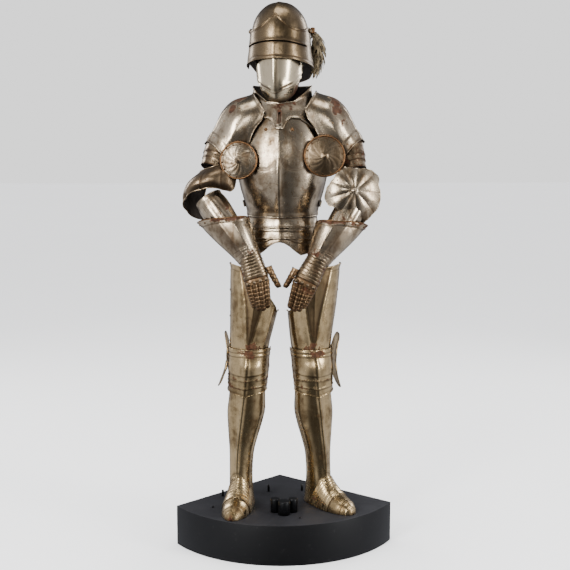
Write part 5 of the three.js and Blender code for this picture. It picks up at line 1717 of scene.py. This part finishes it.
# ---------------------------------------------------------------- straps and buckles
def add_strap(piece, form, angles, z, off, buckle_at, width=20):
    """A leather strap round a form, with a square steel buckle and its tongue."""
    place, _ = on_form(form, angles, (z, z + width), off)
    skin = piece.wall(place, spaced(44), spaced(4), thick=2.6, black=0.0)
    u = (buckle_at - angles[0]) / (angles[1] - angles[0])
    half = 0.06 * 70 / abs(angles[1] - angles[0])
    corners = ((u - half, -0.15), (u + half, -0.15), (u + half, 1.15), (u - half, 1.15))
    frame_path = [mix(np.array(a), np.array(b), t) for a, b in zip(corners, corners[1:] + corners[:1])
                  for t in (0.12, 0.5, 0.88)]
    middle = skin(np.array(u), np.array(0.5))
    normal = skin(np.array(u), np.array(0.5), 1.0) - middle
    points = [skin(np.array(a), np.array(np.clip(b, 0, 1)), 1.8) for a, b in frame_path]
    piece.tube(points, 1.7, 1, closed=True)
    piece.tube([skin(np.array(u - half), np.array(0.5), 2.0), middle + normal * 3.4,
                skin(np.array(u + half), np.array(0.5), 2.4)], 1.2, 1)


def build_straps():
    piece = Piece("thigh_and_calf_straps")
    for name in ("right", "left"):
        form = leg_form(name)
        for z in THIGH_STRAPS:
            add_strap(piece, form, (96, 264), z, -4, 150)
        add_strap(piece, form, (84, 276), CALF_STRAP, -1, 205, 18)
    piece.finish([LEATHER, BRIGHT], slot="leather")
    piece = Piece("waist_straps", TRUNK)
    for side in (-1, 1):
        add_strap(piece, TORSO, (side * 76, side * 108) if side > 0 else (-108, -76), 1088, 3.4, side * 86)
    piece.finish([LEATHER, BRIGHT], slot="leather")
    for name, arm in ARMS.items():
        matrix = limb(arm["shoulder"], arm["elbow"], (arm["side"], -0.7, 0))
        piece = Piece(f"{name}_arm_straps", matrix)
        add_strap(piece, UPPER_ARM, (104, 256), 168, -14, 160, 16)
        piece.finish([LEATHER, BRIGHT], slot="leather")


# ---------------------------------------------------------------- the whole
build_plinth()
build_rest()
build_skull()
build_visor()
build_pivots()
build_plume()
build_bevor()
build_gorget()
build_breast()
build_skirt()
for arm_name, arm_facts in ARMS.items():
    build_pauldron(arm_name, arm_facts)
    build_arm_lames(arm_name, arm_facts)
    build_besagew(arm_name, arm_facts)
    build_forearm(arm_name, arm_facts)
    build_hand(arm_name, arm_facts)
build_fan_couter("left", ARMS["left"])
build_bell_couter("right")
build_leg("right", -1)
build_leg("left", 1)
build_foot("right")
build_foot("left")
build_straps()


# ---------------------------------------------------------------- floor and light
def build_studio():
    bpy.ops.mesh.primitive_plane_add(size=60, location=(0, 0, 0))
    floor = bpy.context.object
    floor.name = "studio_floor"
    paint = Paint("floor_paint")
    tone = paint.noise(0.6, 3.0, 0.5)
    floor.data.materials.append(paint.finish(
        Base_Color=paint.blend(tone, rgb(0.87, 0.87, 0.87), rgb(0.9, 0.9, 0.9)), Roughness=0.9))
    floor.visible_glossy = False
    world = bpy.data.worlds.new("studio")
    bpy.context.scene.world = world
    world.use_nodes = True
    tree = world.node_tree
    tree.nodes.clear()
    output = tree.nodes.new("ShaderNodeOutputWorld")
    seen, lit = tree.nodes.new("ShaderNodeBackground"), tree.nodes.new("ShaderNodeBackground")
    seen.inputs["Color"].default_value = (1, 1, 1, 1)
    seen.inputs["Strength"].default_value = BACKGROUND
    lit.inputs["Color"].default_value = (0.9, 0.92, 1, 1)
    sky = tree.nodes.new("ShaderNodeTexCoord")
    parts = tree.nodes.new("ShaderNodeSeparateXYZ")
    aside, share, power = (tree.nodes.new(kind) for kind in (
        "ShaderNodeMath", "ShaderNodeMapRange", "ShaderNodeMath"))
    aside.operation, power.operation = "ABSOLUTE", "MULTIPLY_ADD"
    share.interpolation_type = "SMOOTHSTEP"
    share.inputs["From Min"].default_value = SKY["aside_from"]
    share.inputs["From Max"].default_value = SKY["aside_to"]
    power.inputs[1].default_value = SKY["more_aside"]
    power.inputs[2].default_value = SKY["middle"]
    tree.links.new(sky.outputs["Generated"], parts.inputs[0])
    tree.links.new(parts.outputs["X"], aside.inputs[0])
    tree.links.new(aside.outputs[0], share.inputs[0])
    tree.links.new(share.outputs[0], power.inputs[0])
    tree.links.new(power.outputs[0], lit.inputs["Strength"])
    path, choice = tree.nodes.new("ShaderNodeLightPath"), tree.nodes.new("ShaderNodeMixShader")
    tree.links.new(path.outputs["Is Camera Ray"], choice.inputs[0])
    tree.links.new(lit.outputs[0], choice.inputs[1])
    tree.links.new(seen.outputs[0], choice.inputs[2])
    tree.links.new(choice.outputs[0], output.inputs[0])
    lamps = (
        ("key", (-2.1, -2.9, 2.3), (0, 0, 1.1), (0.8, 2.6), 150),
        ("fill", (2.9, -1.9, 1.7), (0, 0, 1.0), (0.6, 2.6), 95),
        ("front", (-0.2, -4.8, 3.0), (0, 0, 1.0), (1.0, 1.2), 45),
        ("top", (0, -0.4, 4.2), (0, 0, 1.0), (2.0, 1.4), 62),
        ("rear_left", (-2.6, 2.4, 2.3), (0, 0, 1.1), (0.8, 2.2), 50),
        ("rear_right", (2.6, 2.4, 2.3), (0, 0, 1.1), (0.8, 2.2), 50),
    )
    for name, at, aim, size, power in lamps:
        light = bpy.data.lights.new(name, "AREA")
        light.shape = "RECTANGLE"
        light.size, light.size_y = size
        light.energy = power
        lamp = bpy.data.objects.new(name, light)
        bpy.context.scene.collection.objects.link(lamp)
        lamp.location = at
        lamp.rotation_euler = (Vector(aim) - Vector(at)).to_track_quat("-Z", "Y").to_euler()
    even = bpy.data.lights.new("floor_wash", "SUN")
    even.energy, even.angle = FLOOR_WASH["energy"], FLOOR_WASH["angle"]
    wash = bpy.data.objects.new("floor_wash", even)
    bpy.context.scene.collection.objects.link(wash)
    lit_by_wash = bpy.data.collections.new("lit_by_wash")
    lit_by_wash.objects.link(floor)
    wash.light_linking.receiver_collection = lit_by_wash


build_studio()
